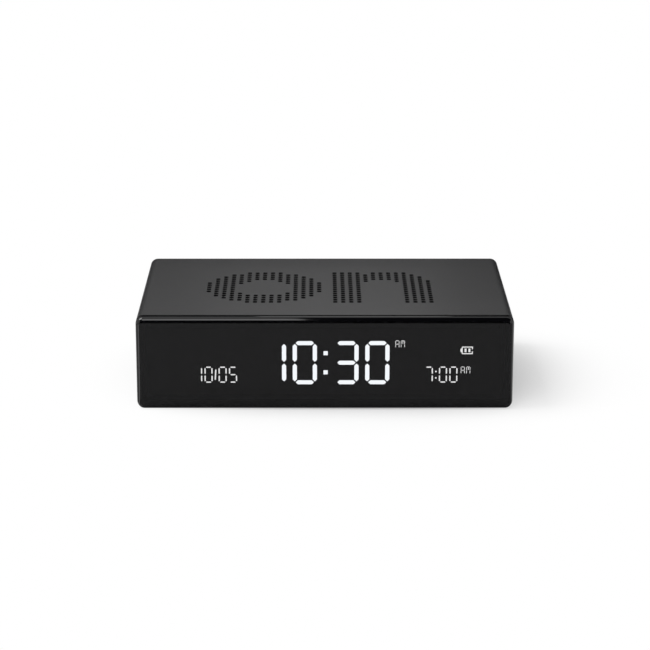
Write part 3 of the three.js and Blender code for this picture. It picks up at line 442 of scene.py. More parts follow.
# %% [markdown]
# ## The tube
#
# The body is one moulded tube, open at both ends. Its wall is 2.4 mm, its long edges are rounded
# by 2.4 mm, and its rear edge by 1.6 mm, which is what a hand feels when it turns the clock over.
# At the back the wall steps down to hold the cover. Six rings make it: along the outside, down the
# step at the back, and along the inside to the front again.

# %% Tube
def corners_of(node):
    """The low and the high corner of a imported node's box, in millimetres."""
    return (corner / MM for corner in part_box(node))


sleeve_low, sleeve_high = corners_of("body_sleeve")
cover_low, cover_high = corners_of("rear_cover")
WIDTH, HEIGHT = sleeve_high.x - sleeve_low.x, sleeve_high.z
MIDDLE = HEIGHT / 2
SEAM_ROOM, STEP_PLAY = 0.25, 0.05
SLEEVE_FRONT, SLEEVE_BACK = sleeve_low.y + SEAM_ROOM, sleeve_high.y
CORNER_RADIUS, REAR_RADIUS, FRONT_BREAK = 2.4, 1.6, 0.04
WALL, STEP, INNER_RADIUS = 2.4, 0.7, 1.2
ALONG_EDGE, ON_ROUND = 1e-6, 1e-5  # metres
STEP_DEPTH = cover_low.y - STEP_PLAY


def outlines(bm, rows):
    """Rings that follow the clock's outline."""
    return rings(bm, WIDTH, HEIGHT, rows, z=MIDDLE)


tube = bmesh.new()
tube_rings = outlines(tube, (
    (0, CORNER_RADIUS, SLEEVE_FRONT), (0, CORNER_RADIUS, SLEEVE_BACK),
    (WALL - STEP, INNER_RADIUS + STEP, SLEEVE_BACK),
    (WALL - STEP, INNER_RADIUS + STEP, STEP_DEPTH),
    (WALL, INNER_RADIUS, STEP_DEPTH), (WALL, INNER_RADIUS, SLEEVE_FRONT),
))
loft(tube, tube_rings, closed=True)


def edges_on_outline(bm, y):
    """The edges at depth y that run along the outer outline, corners included."""
    reach = Vector((WIDTH / 2, HEIGHT / 2)) * MM
    start = reach - Vector((CORNER_RADIUS, CORNER_RADIUS)) * MM

    def outer(v):
        across, up = abs(v.co.x) - start.x, abs(v.co.z - MIDDLE * MM) - start.y
        past_round = math.hypot(max(across, 0), max(up, 0)) - CORNER_RADIUS * MM
        return abs(v.co.y - y * MM) < ALONG_EDGE and abs(past_round) < ON_ROUND

    return [e for e in bm.edges if outer(e.verts[0]) and outer(e.verts[1])]


for y, radius, steps in ((SLEEVE_BACK, REAR_RADIUS, 6), (SLEEVE_FRONT, FRONT_BREAK, 2)):
    bevel(tube, edges_on_outline(tube, y), radius, steps)
print("the tube has", len(tube.faces), "faces before the words")

# %% [markdown]
# ## The words as dimples
#
# Each letter is set on a grid of dimples, 2.49 mm apart across and 2.44 mm in depth, four dots to
# a stroke. A dimple is a rounded square, 1.44 mm wide and 2.14 mm long, so the dots of a column
# nearly touch. A letter is one list of runs for each column, counted from the row at the back. The
# flat face is cut along the grid, and only the dotted cells are worked on: a cell's edges are cut
# in four, the cell is inset, and the inset ring is pushed out to the rounded square. Three more
# insets sink it: a small chamfer, a wall and a sloping floor. So every dimple joins the face
# without a seam.

# %% Dimpled words
COLUMN_PITCH, ROW_PITCH = 2.486, 2.44
MOUTH_WIDE, MOUTH_LONG = 1.44, 2.14
LIP, LIP_DEPTH, WALL_DRAFT, WALL_DEPTH = 0.05, 0.05, 0.02, 1.3
FLOOR_INSET, FLOOR_DEPTH = MOUTH_WIDE * 0.3, 0.15
CELL_INSET, CENTRED = 0.3, 0.1
HALF_O = [
    [(6, 10)], [(4, 12)], [(3, 13)], [(2, 14)], [(2, 6), (11, 14)], [(1, 5), (12, 15)],
    [(1, 4), (12, 15)],
]
LETTER_O = HALF_O + HALF_O[-1:] + HALF_O[::-1]
SHOULDER_N = [[(1, 5)], [(1, 15)], [(2, 15)], [(3, 15)], [(5, 15)]]
LETTER_N = [[(1, 15)]] * 4 + [[(2, 5)]] + [[(1, 4)]] * 3 + SHOULDER_N
STEM_F = [[(-2, 15)], [(-4, 15)], [(-5, 15)], [(-5, 15)]]
LETTER_F = [[(1, 4)]] * 2 + STEM_F + [[(-5, -2), (1, 4)]] * 3
SPACE = [[]]


def press_word(bm, columns, top, first_x, turn, row_one_y):
    """Presses dimples into the flat face at height top. Turn is 1 on the upper face and -1 on the
    lower one, where columns run the other way because the clock is rolled over sideways."""
    cells = {
        (i, row)
        for i, runs in enumerate(columns) for low, high in runs for row in range(low, high + 1)
    }
    rows = [row for _, row in cells]
    lines = [
        ((first_x + turn * (i - 0.5) * COLUMN_PITCH, 0, 0), (1, 0, 0))
        for i in range(len(columns) + 1)
    ] + [
        ((0, row_one_y - (row - 1.5) * ROW_PITCH, 0), (0, 1, 0))
        for row in range(min(rows), max(rows) + 2)
    ]

    def panel():
        return [f for f in bm.faces if all(abs(v.co.z - top * MM) < SAME_PLACE for v in f.verts)]

    for point, normal in lines:
        faces = panel()
        around = {part for f in faces for part in (*f.edges, *f.verts)}
        bmesh.ops.bisect_plane(
            bm, geom=faces + list(around), dist=1e-8, plane_co=Vector(point) * MM, plane_no=normal
        )
    dotted = []
    for face in panel():
        centre = face.calc_center_median() / MM
        across = (centre.x - first_x) * turn / COLUMN_PITCH
        along = (row_one_y - centre.y) / ROW_PITCH + 1
        near = (round(across), round(along))
        if near in cells and max(abs(across - near[0]), abs(along - near[1])) < CENTRED:
            dotted.append(face)
    bmesh.ops.bisect_edges(bm, edges=list({e for f in dotted for e in f.edges}), cuts=3)
    bmesh.ops.inset_individual(bm, faces=dotted, thickness=CELL_INSET * MM, use_even_offset=True)
    eighth = math.pi / 8
    for face in dotted:
        centre = face.calc_center_bounds()
        for v in face.verts:
            off = v.co - centre
            angle = round(math.atan2(off.y, off.x) / eighth) * eighth
            across, along = math.cos(angle), math.sin(angle)
            square = (across**4 + along**4) ** 0.25
            reach = Vector((across * MOUTH_WIDE, along * MOUTH_LONG, 0)) / (2 * square)
            v.co = centre + reach * MM
    # Walls and floors take the second material, the dimples' painted shade.
    for thickness, depth, material in (
        (LIP, LIP_DEPTH, 0), (WALL_DRAFT, WALL_DEPTH, 1), (FLOOR_INSET, FLOOR_DEPTH, 1)
    ):
        walls = bmesh.ops.inset_individual(
            bm, faces=dotted, thickness=thickness * MM, depth=-depth * MM, use_even_offset=True
        )["faces"]
        for face in walls:
            face.material_index = material
    for face in dotted:
        face.material_index = 1
    return len(dotted)


ON_FIRST_COLUMN_X, ON_MIDDLE_Y, ON_ROWS_BEHIND, OFF_ROWS_BEHIND = -36.48, -1.2, 7, 4
on_word = LETTER_O + SPACE + LETTER_N
on_row_one_y = ON_MIDDLE_Y + ON_ROWS_BEHIND * ROW_PITCH
off_word = LETTER_O + SPACE + LETTER_F + SPACE + LETTER_F
off_first_x = (len(off_word) - 1) / 2 * COLUMN_PITCH
off_row_one_y = (SLEEVE_FRONT + SLEEVE_BACK) / 2 + OFF_ROWS_BEHIND * ROW_PITCH
bmesh.ops.recalc_face_normals(tube, faces=tube.faces)
print("dimples on:", press_word(tube, on_word, HEIGHT, ON_FIRST_COLUMN_X, 1, on_row_one_y))
print("dimples off:", press_word(tube, off_word, 0, off_first_x, -1, off_row_one_y))
add_piece("dimpled_tube", tube, [satin_abs, pit_painted_shade_abs], "body_sleeve", smooth=28)

# %% [markdown]
# ## The lens
#
# The lens is a plate with a rim behind it that plugs into the tube. Its front edges are rounded by
# 2 mm all round, and that rounding catches the long highlight along the top of the picture. The
# back edge is broken by 0.14 mm, so no sharp rim stands in the seam. Each face takes its finish by
# its depth: the clear front, the rounded edge, the ground rim, and all that is inside.

# %% Lens
lens_low, lens_high = corners_of("front_lens")
LENS_THICKNESS, LENS_RADIUS, LENS_BREAK = 2.2, 2.05, 0.14
CLEAR_SHARE, GROUND_SHARE, HAIR = 0.1, 0.85, 0.001
RIM_WALL, RIM_GAP, RIM_INNER_RADIUS = 1.2, 0.2, 0.6
PLATE_BACK = lens_low.y + LENS_THICKNESS
rim_inset = WALL + RIM_GAP
lens = bmesh.new()
lens_rings = outlines(lens, (
    (0, CORNER_RADIUS, lens_low.y), (0, CORNER_RADIUS, PLATE_BACK),
    (rim_inset, INNER_RADIUS - RIM_GAP, PLATE_BACK),
    (rim_inset, INNER_RADIUS - RIM_GAP, lens_high.y),
    (rim_inset + RIM_WALL, RIM_INNER_RADIUS, lens_high.y),
    (rim_inset + RIM_WALL, RIM_INNER_RADIUS, PLATE_BACK),
))
loft(lens, lens_rings, fill=(0, -1))
for y, radius, steps in ((PLATE_BACK, LENS_BREAK, 2), (lens_low.y, LENS_RADIUS, 10)):
    bevel(lens, edges_on_outline(lens, y), radius, steps)
for face in lens.faces:
    depth = face.calc_center_median().y / MM
    share = (depth - lens_low.y) / LENS_RADIUS
    inside = depth > PLATE_BACK - HAIR
    face.material_index = 3 if inside else int(share > CLEAR_SHARE) + int(share > GROUND_SHARE)
lens_materials = [smoked_acrylic, smoked_edge, ground_rim, clear_inside]
add_piece("smoked_lens_cover", lens, lens_materials, "front_lens", smooth=40)

# %% [markdown]
# ## The seam
#
# A groove runs round the clock between the lens and the tube, and a black rubber ring fills it to
# 0.03 mm below the surface. That ring draws the crisp dark line as painted shade: the rubber is
# real, but raised near flush, near black and without shine it stands in for the shade of the
# groove, where an empty groove would show the lit front edge of the tube. Its shoulders fall off a
# little, so they never catch the light.

# %% Seam ring
SEAM_SINK, SEAM_SHOULDER, SEAM_PLAY, SHOULDER_WIDTH = 0.03, 0.06, 0.02, 0.12
seam_front, seam_back = PLATE_BACK + SEAM_PLAY, SLEEVE_FRONT - SEAM_PLAY
seam = bmesh.new()
seam_face = (
    (SEAM_SHOULDER, seam_front), (SEAM_SINK, seam_front + SHOULDER_WIDTH),
    (SEAM_SINK, seam_back - SHOULDER_WIDTH), (SEAM_SHOULDER, seam_back),
)
seam_rows = [(sink, CORNER_RADIUS - sink, y) for sink, y in seam_face]
seam_rows += [(WALL, INNER_RADIUS, y) for y in (seam_back, seam_front)]
loft(seam, outlines(seam, seam_rows), closed=True)
add_piece("seam_ring", seam, [seam_rubber], "seam_gasket", smooth=50)

# %% [markdown]
# ## The black border
#
# The lens is printed black behind its edges and left clear only where the display shines through,
# so the tray, the lamps and the ribbon never show. The print is a flat ring in the slit between
# the lens and the panel.

# %% Black border
WINDOW_WIDTH, WINDOW_HEIGHT, WINDOW_RADIUS = 98.0, 17.6, 0.8
INK_BACK, INK_FRONT, BORDER_PLAY = PLATE_BACK + 0.03, PLATE_BACK + 0.01, 0.05
border_inset = rim_inset + RIM_WALL + BORDER_PLAY
border = bmesh.new()
outer = outlines(border, [(border_inset, RIM_INNER_RADIUS, y) for y in (INK_BACK, INK_FRONT)])
window_rows = [(0, WINDOW_RADIUS, y) for y in (INK_FRONT, INK_BACK)]
window = rings(border, WINDOW_WIDTH, WINDOW_HEIGHT, window_rows, z=MIDDLE)
loft(border, outer + window, closed=True)
add_piece("printed_border", border, [black_ink], weighted=False)

# %% [markdown]
# ## The lit segments
#
# Behind the lens sits a black liquid-crystal panel that lets white light through at its segments.
# Every digit is built from the same bar with pointed ends, laid between two corners of the digit
# and kept a little short of them, which leaves the fine dark gaps that make the digits read as
# segments. A bar is a rectangle whose four corners are bevelled until the ends almost meet in a
# point.

# %% Segment helpers
PANEL_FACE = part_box("lcd_panel")[0].y / MM
SEGMENT_BACK, SEGMENT_THICKNESS, POINTED = PANEL_FACE - 0.004, 0.03, 0.98
DIGITS = {
    "0": "abcdef", "1": "bc", "3": "abcdg", "5": "acdfg", "7": "abc", "A": "abcefg", "M": "abcefm",
}
BARS = {
    "a": ((-1, 1), (1, 1)), "b": ((1, 1), (1, 0)), "c": ((1, 0), (1, -1)),
    "d": ((-1, -1), (1, -1)), "e": ((-1, 0), (-1, -1)), "f": ((-1, 1), (-1, 0)),
    "g": ((-1, 0), (1, 0)), "m": ((0, 1), (0, 0)),
}


def pull(bm, faces, vec):
    """Extrudes faces by a vector in metres."""
    grown = bmesh.ops.extrude_face_region(bm, geom=faces)["geom"]
    verts = [v for v in grown if isinstance(v, bmesh.types.BMVert)]
    bmesh.ops.translate(bm, verts=verts, vec=vec)


def bar(bm, start, end, stroke, point=0.5, y=SEGMENT_BACK, thickness=-SEGMENT_THICKNESS):
    """A flat bar between two points in millimetres, at depth y. Point is the share of the stroke
    that each corner loses: 0.5 makes pointed ends."""
    start, end = Vector(start), Vector(end)
    along, middle = end - start, (start + end) / 2
    turn = Matrix.Rotation(math.atan2(along.y, along.x), 4, "Z")
    stand = upright_at(middle.x, y, middle.y) @ turn
    face = rounded_face(bm, stand, along.length, stroke, stroke * point * POINTED, 1)
    pull(bm, [face], (0, thickness * MM, 0))


def block(bm, x, z, wide, high):
    """A lit rectangle, centred at x and z."""
    bar(bm, (x - wide / 2, z), (x + wide / 2, z), high, 0)


def digit(bm, sign, x, z, width, height, stroke, gap):
    """One digit or letter, centred at x and z."""
    reach = Vector(((width - stroke) / 2, (height - stroke) / 2))
    for name in DIGITS[sign]:
        start, end = (Vector((x + u * reach.x, z + v * reach.y)) for u, v in BARS[name])
        trim = (end - start).normalized() * gap
        bar(bm, start + trim, end - trim, stroke)


# %% [markdown]
# The time stands in the middle, the date to its left and the alarm's time to its right with the
# battery's sign above it. The sizes are the photograph's, carried onto the panel behind the lens.

# %% Display
time = bmesh.new()
LARGE = {"width": 7.4, "height": 13.78, "stroke": 1.28, "gap": 0.3}
TIME_Z = 14.35
for sign, x in (("1", -15.53), ("0", -6.13), ("3", 6.58), ("0", 16.0)):
    digit(time, sign, x, TIME_Z, **LARGE)
COLON_X, COLON_SIZE = 0.22, 1.3
for z in (17.4, 11.3):
    block(time, COLON_X, z, COLON_SIZE, COLON_SIZE)
add_piece("lit_time", time, [large_light], weighted=False)

sides = bmesh.new()
SMALL = {"width": 2.49, "height": 5.15, "stroke": 0.39, "gap": 0.24}
LETTER = {"width": 1.24, "height": 2.32, "stroke": 0.18, "gap": 0.06}
SMALL_Z, SLASH = 10.54, ((-33.52, 8.86), (-33.32, 12.24), SMALL["stroke"], 0.4)
SMALL_COLON_X, SMALL_COLON_WIDE, SMALL_COLON_HIGH = 33.92, 0.46, 0.44
LETTER_PLACES, LETTER_SHIFT = ((22.9, 20.26), (42.97, 11.92)), 0.84
for sign, x in (("1", -38.73), ("0", -35.55), ("0", -31.25), ("5", -28.08),
                ("7", 31.77), ("0", 36.09), ("0", 39.28)):
    digit(sides, sign, x, SMALL_Z, **SMALL)
bar(sides, *SLASH)
for z in (11.53, 9.49):
    block(sides, SMALL_COLON_X, z, SMALL_COLON_WIDE, SMALL_COLON_HIGH)
for x, z in LETTER_PLACES:
    digit(sides, "A", x - LETTER_SHIFT, z, **LETTER)
    digit(sides, "M", x + LETTER_SHIFT, z, **LETTER)

BATTERY_X, BATTERY_Z, BATTERY_STROKE, NOTCH_HALF = 43.32, 18.28, 0.31, 0.32
TERMINAL_OUT, TERMINAL_IN, TERMINAL_HIGH, TERMINAL_POINT = 0.55, 0.1, 1.3, 0.2
LEVELS, LEVEL_HALF, LEVEL_WIDE = (1.0, 2.2), 0.58, 0.6
left, right, half = BATTERY_X - 1.47, BATTERY_X + 1.62, 1.05
bar(sides, (left, BATTERY_Z - half), (left, BATTERY_Z + half), BATTERY_STROKE, 0)
for side in (1, -1):
    edge, notch = BATTERY_Z + side * half, BATTERY_Z + side * NOTCH_HALF
    corner = BATTERY_Z + side * (half + BATTERY_STROKE / 2)
    bar(sides, (left, edge), (right, edge), BATTERY_STROKE, 0)
    bar(sides, (right, corner), (right, notch), BATTERY_STROKE, 0)
tip, foot = (left - TERMINAL_OUT, BATTERY_Z), (left + TERMINAL_IN, BATTERY_Z)
bar(sides, tip, foot, TERMINAL_HIGH, TERMINAL_POINT)
for level_x in LEVELS:
    x = left + level_x
    bar(sides, (x, BATTERY_Z - LEVEL_HALF), (x, BATTERY_Z + LEVEL_HALF), LEVEL_WIDE, 0)
add_piece("lit_side_displays", sides, [small_light], weighted=False)

# %% [markdown]
# ## The rear cover
#
# The cover is a flat plate let into the step of the tube and held by four screws. It has a round
# hole for each button, a counterbored hole for each screw and a slot for the port, and each has a
# small chamfer, which is what catches the light on a real moulding. A hole is a stack of rings,
# and both faces are filled between the outline and the holes in one go.

# %% Rear cover
FIT, BUTTON_HOLE, SCREW_HOLE, SCREW_WELL, WELL_FLOOR = 0.2, 6.2, 2.5, 4.2, 34.1
COVER_FRONT, COVER_BACK = cover_low.y, cover_high.y
COVER_EDGE, HOLE_EDGE, WELL_EDGE = 0.3, 0.25, 0.2
SLOT_WIDTH, SLOT_HEIGHT, SLOT_RADIUS = 9.34, 3.66, 1.75
BUTTONS = ("time", "alarm", "minus", "plus")


def centre_of(node):
    low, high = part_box(node)
    return (low + high) / 2 / MM


button_places = {name: centre_of(name + "_button") for name in BUTTONS}
screw_places = [centre_of(f"cover_screw_{i}") for i in (1, 2, 3, 4)]
port_place = centre_of("port_shell")


def port_rings(bm, width, height, rows, steps=8):
    """Rings about the port's axis."""
    return rings(bm, width, height, rows, port_place.x, port_place.z, steps)


cover_inset, cover_radius = WALL - STEP + FIT, INNER_RADIUS + STEP - FIT
edge_depth = COVER_BACK - COVER_EDGE
cover = bmesh.new()
stacks = [
    outlines(cover, (
        (cover_inset, cover_radius, COVER_FRONT), (cover_inset, cover_radius, edge_depth),
        (cover_inset + COVER_EDGE, cover_radius - COVER_EDGE, COVER_BACK),
    )),
    port_rings(cover, SLOT_WIDTH, SLOT_HEIGHT, (
        (0, SLOT_RADIUS, COVER_FRONT), (0, SLOT_RADIUS, edge_depth),
        (-COVER_EDGE, SLOT_RADIUS + COVER_EDGE, COVER_BACK),
    )),
]
for place in button_places.values():
    stacks.append(discs(cover, (
        (BUTTON_HOLE, COVER_FRONT), (BUTTON_HOLE, COVER_BACK - HOLE_EDGE),
        (BUTTON_HOLE + 2 * HOLE_EDGE, COVER_BACK),
    ), place, sides=40))
for place in screw_places:
    stacks.append(discs(cover, (
        (SCREW_HOLE, COVER_FRONT), (SCREW_HOLE, WELL_FLOOR), (SCREW_WELL, WELL_FLOOR),
        (SCREW_WELL, COVER_BACK - WELL_EDGE), (SCREW_WELL + 2 * WELL_EDGE, COVER_BACK),
    ), place))
for stack in stacks:
    loft(cover, stack)
for end in (0, -1):
    all_edges = [edge for stack in stacks for edge in stack[end]]
    bmesh.ops.triangle_fill(cover, use_beauty=True, edges=all_edges)
add_piece("pierced_cover", cover, [eroded_abs], "rear_cover", smooth=40)

# %% [markdown]
# ## Buttons
#
# A button is a turned shape: a flange that keeps it behind the cover and a cap with a rounded rim
# and a slight dish for the fingertip. Spinning half of its outline about its own axis makes it in
# one step. Each one rides on its own body, because each one is pressed alone.

# %% Buttons
CAP_RADIUS, RIM_RADIUS, DISH_START, DISH_DEPTH = 2.9, 0.25, 0.5, 0.16
FLANGE_THICKNESS, FLANGE_EDGE = 1.0, 0.1


def turned(bm, profile, x, z, steps=48):
    """Spins a profile of (radius, depth) points about the axis from front to back through x, z."""
    verts = [bm.verts.new(Vector((x + radius, y, z)) * MM) for radius, y in profile]
    edges = [bm.edges.new(pair) for pair in zip(verts, verts[1:])]
    bmesh.ops.spin(
        bm, geom=verts + edges, cent=Vector((x, 0, z)) * MM, axis=(0, 1, 0), angle=math.tau,
        steps=steps, use_merge=True,
    )


for name, place in button_places.items():
    node = name + "_button"
    low, high = corners_of(node)
    flange, shoulder = (high.x - low.x) / 2, low.y + FLANGE_THICKNESS
    profile = [
        (0, low.y), (flange - FLANGE_EDGE, low.y), (flange, low.y + FLANGE_EDGE),
        (flange, low.y + (FLANGE_THICKNESS - FLANGE_EDGE)), (flange - FLANGE_EDGE, shoulder),
        (CAP_RADIUS, shoulder),
    ]
    for angle in (i * math.pi / 8 for i in range(5)):
        out, up = RIM_RADIUS * math.cos(angle), RIM_RADIUS * math.sin(angle)
        profile.append((CAP_RADIUS - RIM_RADIUS + out, high.y - RIM_RADIUS + up))
    for share in (1, 0.75, 0.5, 0.25, 0):
        profile.append((share * (CAP_RADIUS - DISH_START), high.y - DISH_DEPTH * (1 - share**2)))
    button = bmesh.new()
    turned(button, profile, place.x, place.z)
    add_piece(name + "_dished_cap", button, [button_abs], node, node, smooth=40)

# %% [markdown]
# ## Printed marks
#
# Each button has a plain mark above it: a dial for setting the time, a bell for the alarm, and a
# minus and a plus for changing either. They are flat shapes, 0.02 mm proud like thick ink.

# %% Printed marks
MARK_Z, MARK_Y, MARK_DEPTH, MARK_LINE, MARK_REACH = 20.9, COVER_BACK - 0.01, 0.03, 0.38, 1.2
DIAL_WIDE, DIAL_HOLE, HAND_LINE, PLUS_GAP = 2.9, 2.2, 0.3, 0.01
MARK_TOP = MARK_Y + MARK_DEPTH
marks = bmesh.new()


def line_mark(name, start, end, line=MARK_LINE):
    """Prints a bar above a button, between two points counted from the middle of its mark."""
    x = button_places[name].x
    points = ((x + across, MARK_Z + up) for across, up in (start, end))
    bar(marks, *points, line, point=0, y=MARK_Y, thickness=MARK_DEPTH)


def bell_mark(width, height, radius, up, upper=False):
    """Prints a filled rounded rectangle above the alarm's button."""
    rows = [(0, radius, y) for y in (MARK_Y, MARK_TOP)]
    x, z = button_places["alarm"].x, MARK_Z + up
    loft(marks, rings(marks, width, height, rows, x, z, upper=upper), fill=(0, -1))


dial_place = Vector((button_places["time"].x, 0, MARK_Z))
dial_rows = (
    (DIAL_WIDE, MARK_Y), (DIAL_WIDE, MARK_TOP), (DIAL_HOLE, MARK_TOP), (DIAL_HOLE, MARK_Y),
)
loft(marks, discs(marks, dial_rows, dial_place), closed=True)
line_mark("time", (0, -0.15), (0, 0.85), HAND_LINE)
line_mark("time", (-0.15, -0.3), (-0.7, -0.3), HAND_LINE)
bell_mark(1.9, 1.9, 0.94, 0.25, upper=True)
line_mark("alarm", (-1.35, -0.91), (1.35, -0.91), 0.36)
bell_mark(0.8, 0.4, 0.19, -1.35)
for name in ("minus", "plus"):
    line_mark(name, (-MARK_REACH, 0), (MARK_REACH, 0))
for side in (-1, 1):
    line_mark("plus", (0, side * (MARK_LINE / 2 + PLUS_GAP)), (0, side * MARK_REACH))
add_piece("printed_marks", marks, [pale_ink], weighted=False)

# %% [markdown]
# ## Cover screws
#
# The screws are small pan heads with a cross recess. The head and shank are turned, and the open
# top is closed by a face with a cross-shaped hole, whose walls lean in towards the bottom as a
# driver's tip does.

# %% Cover screws
HEAD_RADIUS, HEAD_HEIGHT, SHANK_RADIUS, TIP_RADIUS, TIP_LENGTH = 1.8, 1.2, 0.95, 0.6, 0.5
HEAD_ROUND = ((0, 0.45), (0.12, 0.18), (0.4, 0))
MOUTH_ARM, MOUTH_SPAN, FLOOR_ARM, FLOOR_SPAN, RECESS = 0.62, 2.3, 0.4, 1.1, 0.7


def cross(bm, width, span, y, place):
    """Edges of an upright cross."""
    arm, tip = width / 2, span / 2
    quarter = [Vector((arm, arm)), Vector((tip, arm)), Vector((tip, -arm))]
    turns = [Matrix.Rotation(-i * math.pi / 2, 2) for i in range(4)]
    corners = [turn @ corner for turn in turns for corner in quarter]
    verts = [bm.verts.new(Vector((place.x + u, y, place.z + v)) * MM) for u, v in corners]
    return [bm.edges.new(pair) for pair in zip(verts, verts[1:] + verts[:1])]


for number, place in enumerate(screw_places, 1):
    node = f"cover_screw_{number}"
    low, high = corners_of(node)
    seat, top = high.y - HEAD_HEIGHT, high.y
    screw = bmesh.new()
    profile = [
        (0, low.y), (TIP_RADIUS, low.y), (SHANK_RADIUS, low.y + TIP_LENGTH),
        (SHANK_RADIUS, seat), (HEAD_RADIUS, seat),
    ]
    profile += [(HEAD_RADIUS - inset, top - sink) for inset, sink in HEAD_ROUND]
    turned(screw, profile, place.x, place.z)
    bmesh.ops.remove_doubles(screw, verts=screw.verts, dist=SAME_PLACE)
    rim = [e for e in screw.edges if e.is_boundary]
    mouth = cross(screw, MOUTH_ARM, MOUTH_SPAN, top, place)
    bottom = cross(screw, FLOOR_ARM, FLOOR_SPAN, top - RECESS, place)
    bmesh.ops.triangle_fill(screw, use_beauty=True, edges=rim + mouth)
    loft(screw, [mouth, bottom], fill=[-1])
    add_piece(f"cross_screw_{number}", screw, [black_steel], node, smooth=35)

# %% [markdown]
# ## Charging port
#
# The port is a flat steel tube, folded from sheet and rounded at its lip. Inside it stands a thin
# black tongue with a row of gold contacts on each face.

# %% Charging port
PORT_WIDTH, PORT_HEIGHT, PORT_RADIUS, SHEET, PORT_FLOOR = 8.94, 3.26, 1.55, 0.3, 1.5
BLADE_RADIUS, BLADE_TAPER, TAPER_LENGTH = 0.12, 0.12, 0.3
CONTACTS, CONTACT_PITCH, CONTACT_BACK, CONTACT_EDGE = 12, 0.5, 2.4, 0.01
CONTACT_SIZE = (0.26, 3.2, 0.04)

low, high = corners_of("port_shell")
shell, lip = bmesh.new(), high.y
lip_rows = (
    (0, low.y), (0, lip - 0.12), (0.04, lip - 0.03), (0.12, lip),
    (SHEET - 0.08, lip), (SHEET, lip - 0.1), (SHEET, low.y + PORT_FLOOR),
)
shell_rows = [(inset, PORT_RADIUS - inset, y) for inset, y in lip_rows]
loft(shell, port_rings(shell, PORT_WIDTH, PORT_HEIGHT, shell_rows), fill=(0, -1))
add_piece("folded_port_shell", shell, [nickel_steel], "port_shell", smooth=50)

low, high = corners_of("port_tongue")
tongue, tip, blade = bmesh.new(), high.y, high - low
blade_rows = (
    (0, BLADE_RADIUS, low.y), (0, BLADE_RADIUS, tip - TAPER_LENGTH),
    (BLADE_TAPER, BLADE_RADIUS, tip),
)
loft(tongue, port_rings(tongue, blade.x, blade.z, blade_rows, steps=2), fill=(0, -1))
add_piece("port_blade", tongue, [epoxy], "port_tongue", smooth=50)

contacts = bmesh.new()
size = Matrix.Diagonal((*(side * MM for side in CONTACT_SIZE), 1))
for side in (-1, 1):
    for i in range(CONTACTS):
        x = (i - (CONTACTS - 1) / 2) * CONTACT_PITCH
        place = Vector((x, tip - CONTACT_BACK, port_place.z + side * blade.z / 2)) * MM
        bmesh.ops.create_cube(contacts, size=1, matrix=Matrix.Translation(place) @ size)
across = [e for e in contacts.edges if abs(e.verts[0].co.y - e.verts[1].co.y) < ALONG_EDGE]
bevel(contacts, across, CONTACT_EDGE, 1)
add_piece("port_contacts", contacts, [gold_plate], weighted=False)

# %% [markdown]
# ## The foam under the cell
#
# The cell lies on a thin pad of open-cell foam, which keeps it from rattling. The pad is a fine
# grid pulled up into a slab and pitted a few hundredths of a millimetre by noise.

# %% Foam pad
FOAM_CELLS, PIT_SIZE, PIT_DEPTH = (50, 34), 1.7, 0.08
foam_low, foam_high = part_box("battery_foam")
foam_size, foam_middle = foam_high - foam_low, (foam_low + foam_high) / 2
pad = bmesh.new()
bmesh.ops.create_grid(
    pad, x_segments=FOAM_CELLS[0], y_segments=FOAM_CELLS[1], size=0.5,
    matrix=Matrix.Translation((foam_middle.x, foam_middle.y, foam_low.z))
    @ Matrix.Diagonal((foam_size.x, foam_size.y, 1, 1)),
)
pull(pad, list(pad.faces), (0, 0, foam_size.z))
for v in pad.verts:
    pit = 0.5 + 0.5 * noise.noise(v.co / (PIT_SIZE * MM))
    v.co = v.co + (foam_middle - v.co).normalized() * pit * PIT_DEPTH * MM
foam = add_piece("open_cell_pad", pad, [cell_foam], "battery_foam", smooth=60)

# %% [markdown]
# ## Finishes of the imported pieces
#
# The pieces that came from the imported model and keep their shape, mostly inside the clock, take
# the material that belongs to their slot in the record.

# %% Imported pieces
FINISHES = {
    "satin_shell": satin_abs, "smoked_lens": smoked_acrylic, "seam_rubber": seam_rubber,
    "dark_moulding": chassis_abs, "button_moulding": button_abs, "lcd_glass": lcd_glass,
    "clear_acrylic": guide_acrylic, "white_film": white_film, "lamp_strip": lamp_strip,
    "flex_film": flex_film, "circuit_board": solder_mask, "dark_component": epoxy,
    "ivory_component": ivory_nylon, "bright_steel": nickel_steel, "black_steel": black_steel,
    "brass": brass, "copper_foil": copper_foil, "grey_foam": cell_foam, "cell_pouch": pouch_foil,
    "red_sleeving": red_silicone, "black_sleeving": black_silicone,
}
for row in frame["record"]["subparts"]:
    for material_slot in frame["nodes"][row["node"]].material_slots:
        material_slot.material = FINISHES[row["material_slot"]]

# %% [markdown]
# ## Floor, light and surroundings
#
# The clock stands on a pale sweep. A large soft lamp high at the left throws the short shadow to
# the right, and a strip in front draws the highlight along the left half of the lens's top edge.
# Black gloss only looks black when it has something dark to mirror, so black cards hang in front,
# above, and low and high behind. Grey cards lie on the floor in front and at the left, and a white
# wedge among them draws the light line down the lens's left edge. Cards are seen by reflections
# alone; the camera and the diffuse light don't notice them. Away from the clock the floor is
# lifted to white, as a cut-out picture has it.

# %% World
AMBIENT = 0.5


def seen_rays(tree):
    """One for rays from the camera, off gloss or through glass, and nought for diffuse light."""
    path = add_node(tree, "LightPath").outputs
    seen = calculate(tree, "MAXIMUM", path["Is Camera Ray"], path["Is Glossy Ray"])
    return calculate(tree, "MAXIMUM", seen, path["Is Transmission Ray"])


world = bpy.data.worlds.new("pale_studio")
world.use_nodes = True
bpy.context.scene.world = world
background = world.node_tree.nodes["Background"]
background.inputs["Color"].default_value = (1, 1, 1, 1)
strength = add_node(
    world.node_tree, "MapRange", Value=seen_rays(world.node_tree), To_Min=AMBIENT, To_Max=1.0
)
world.node_tree.links.new(strength.outputs["Result"], background.inputs["Strength"])
print("diffuse light from the sky:", AMBIENT)
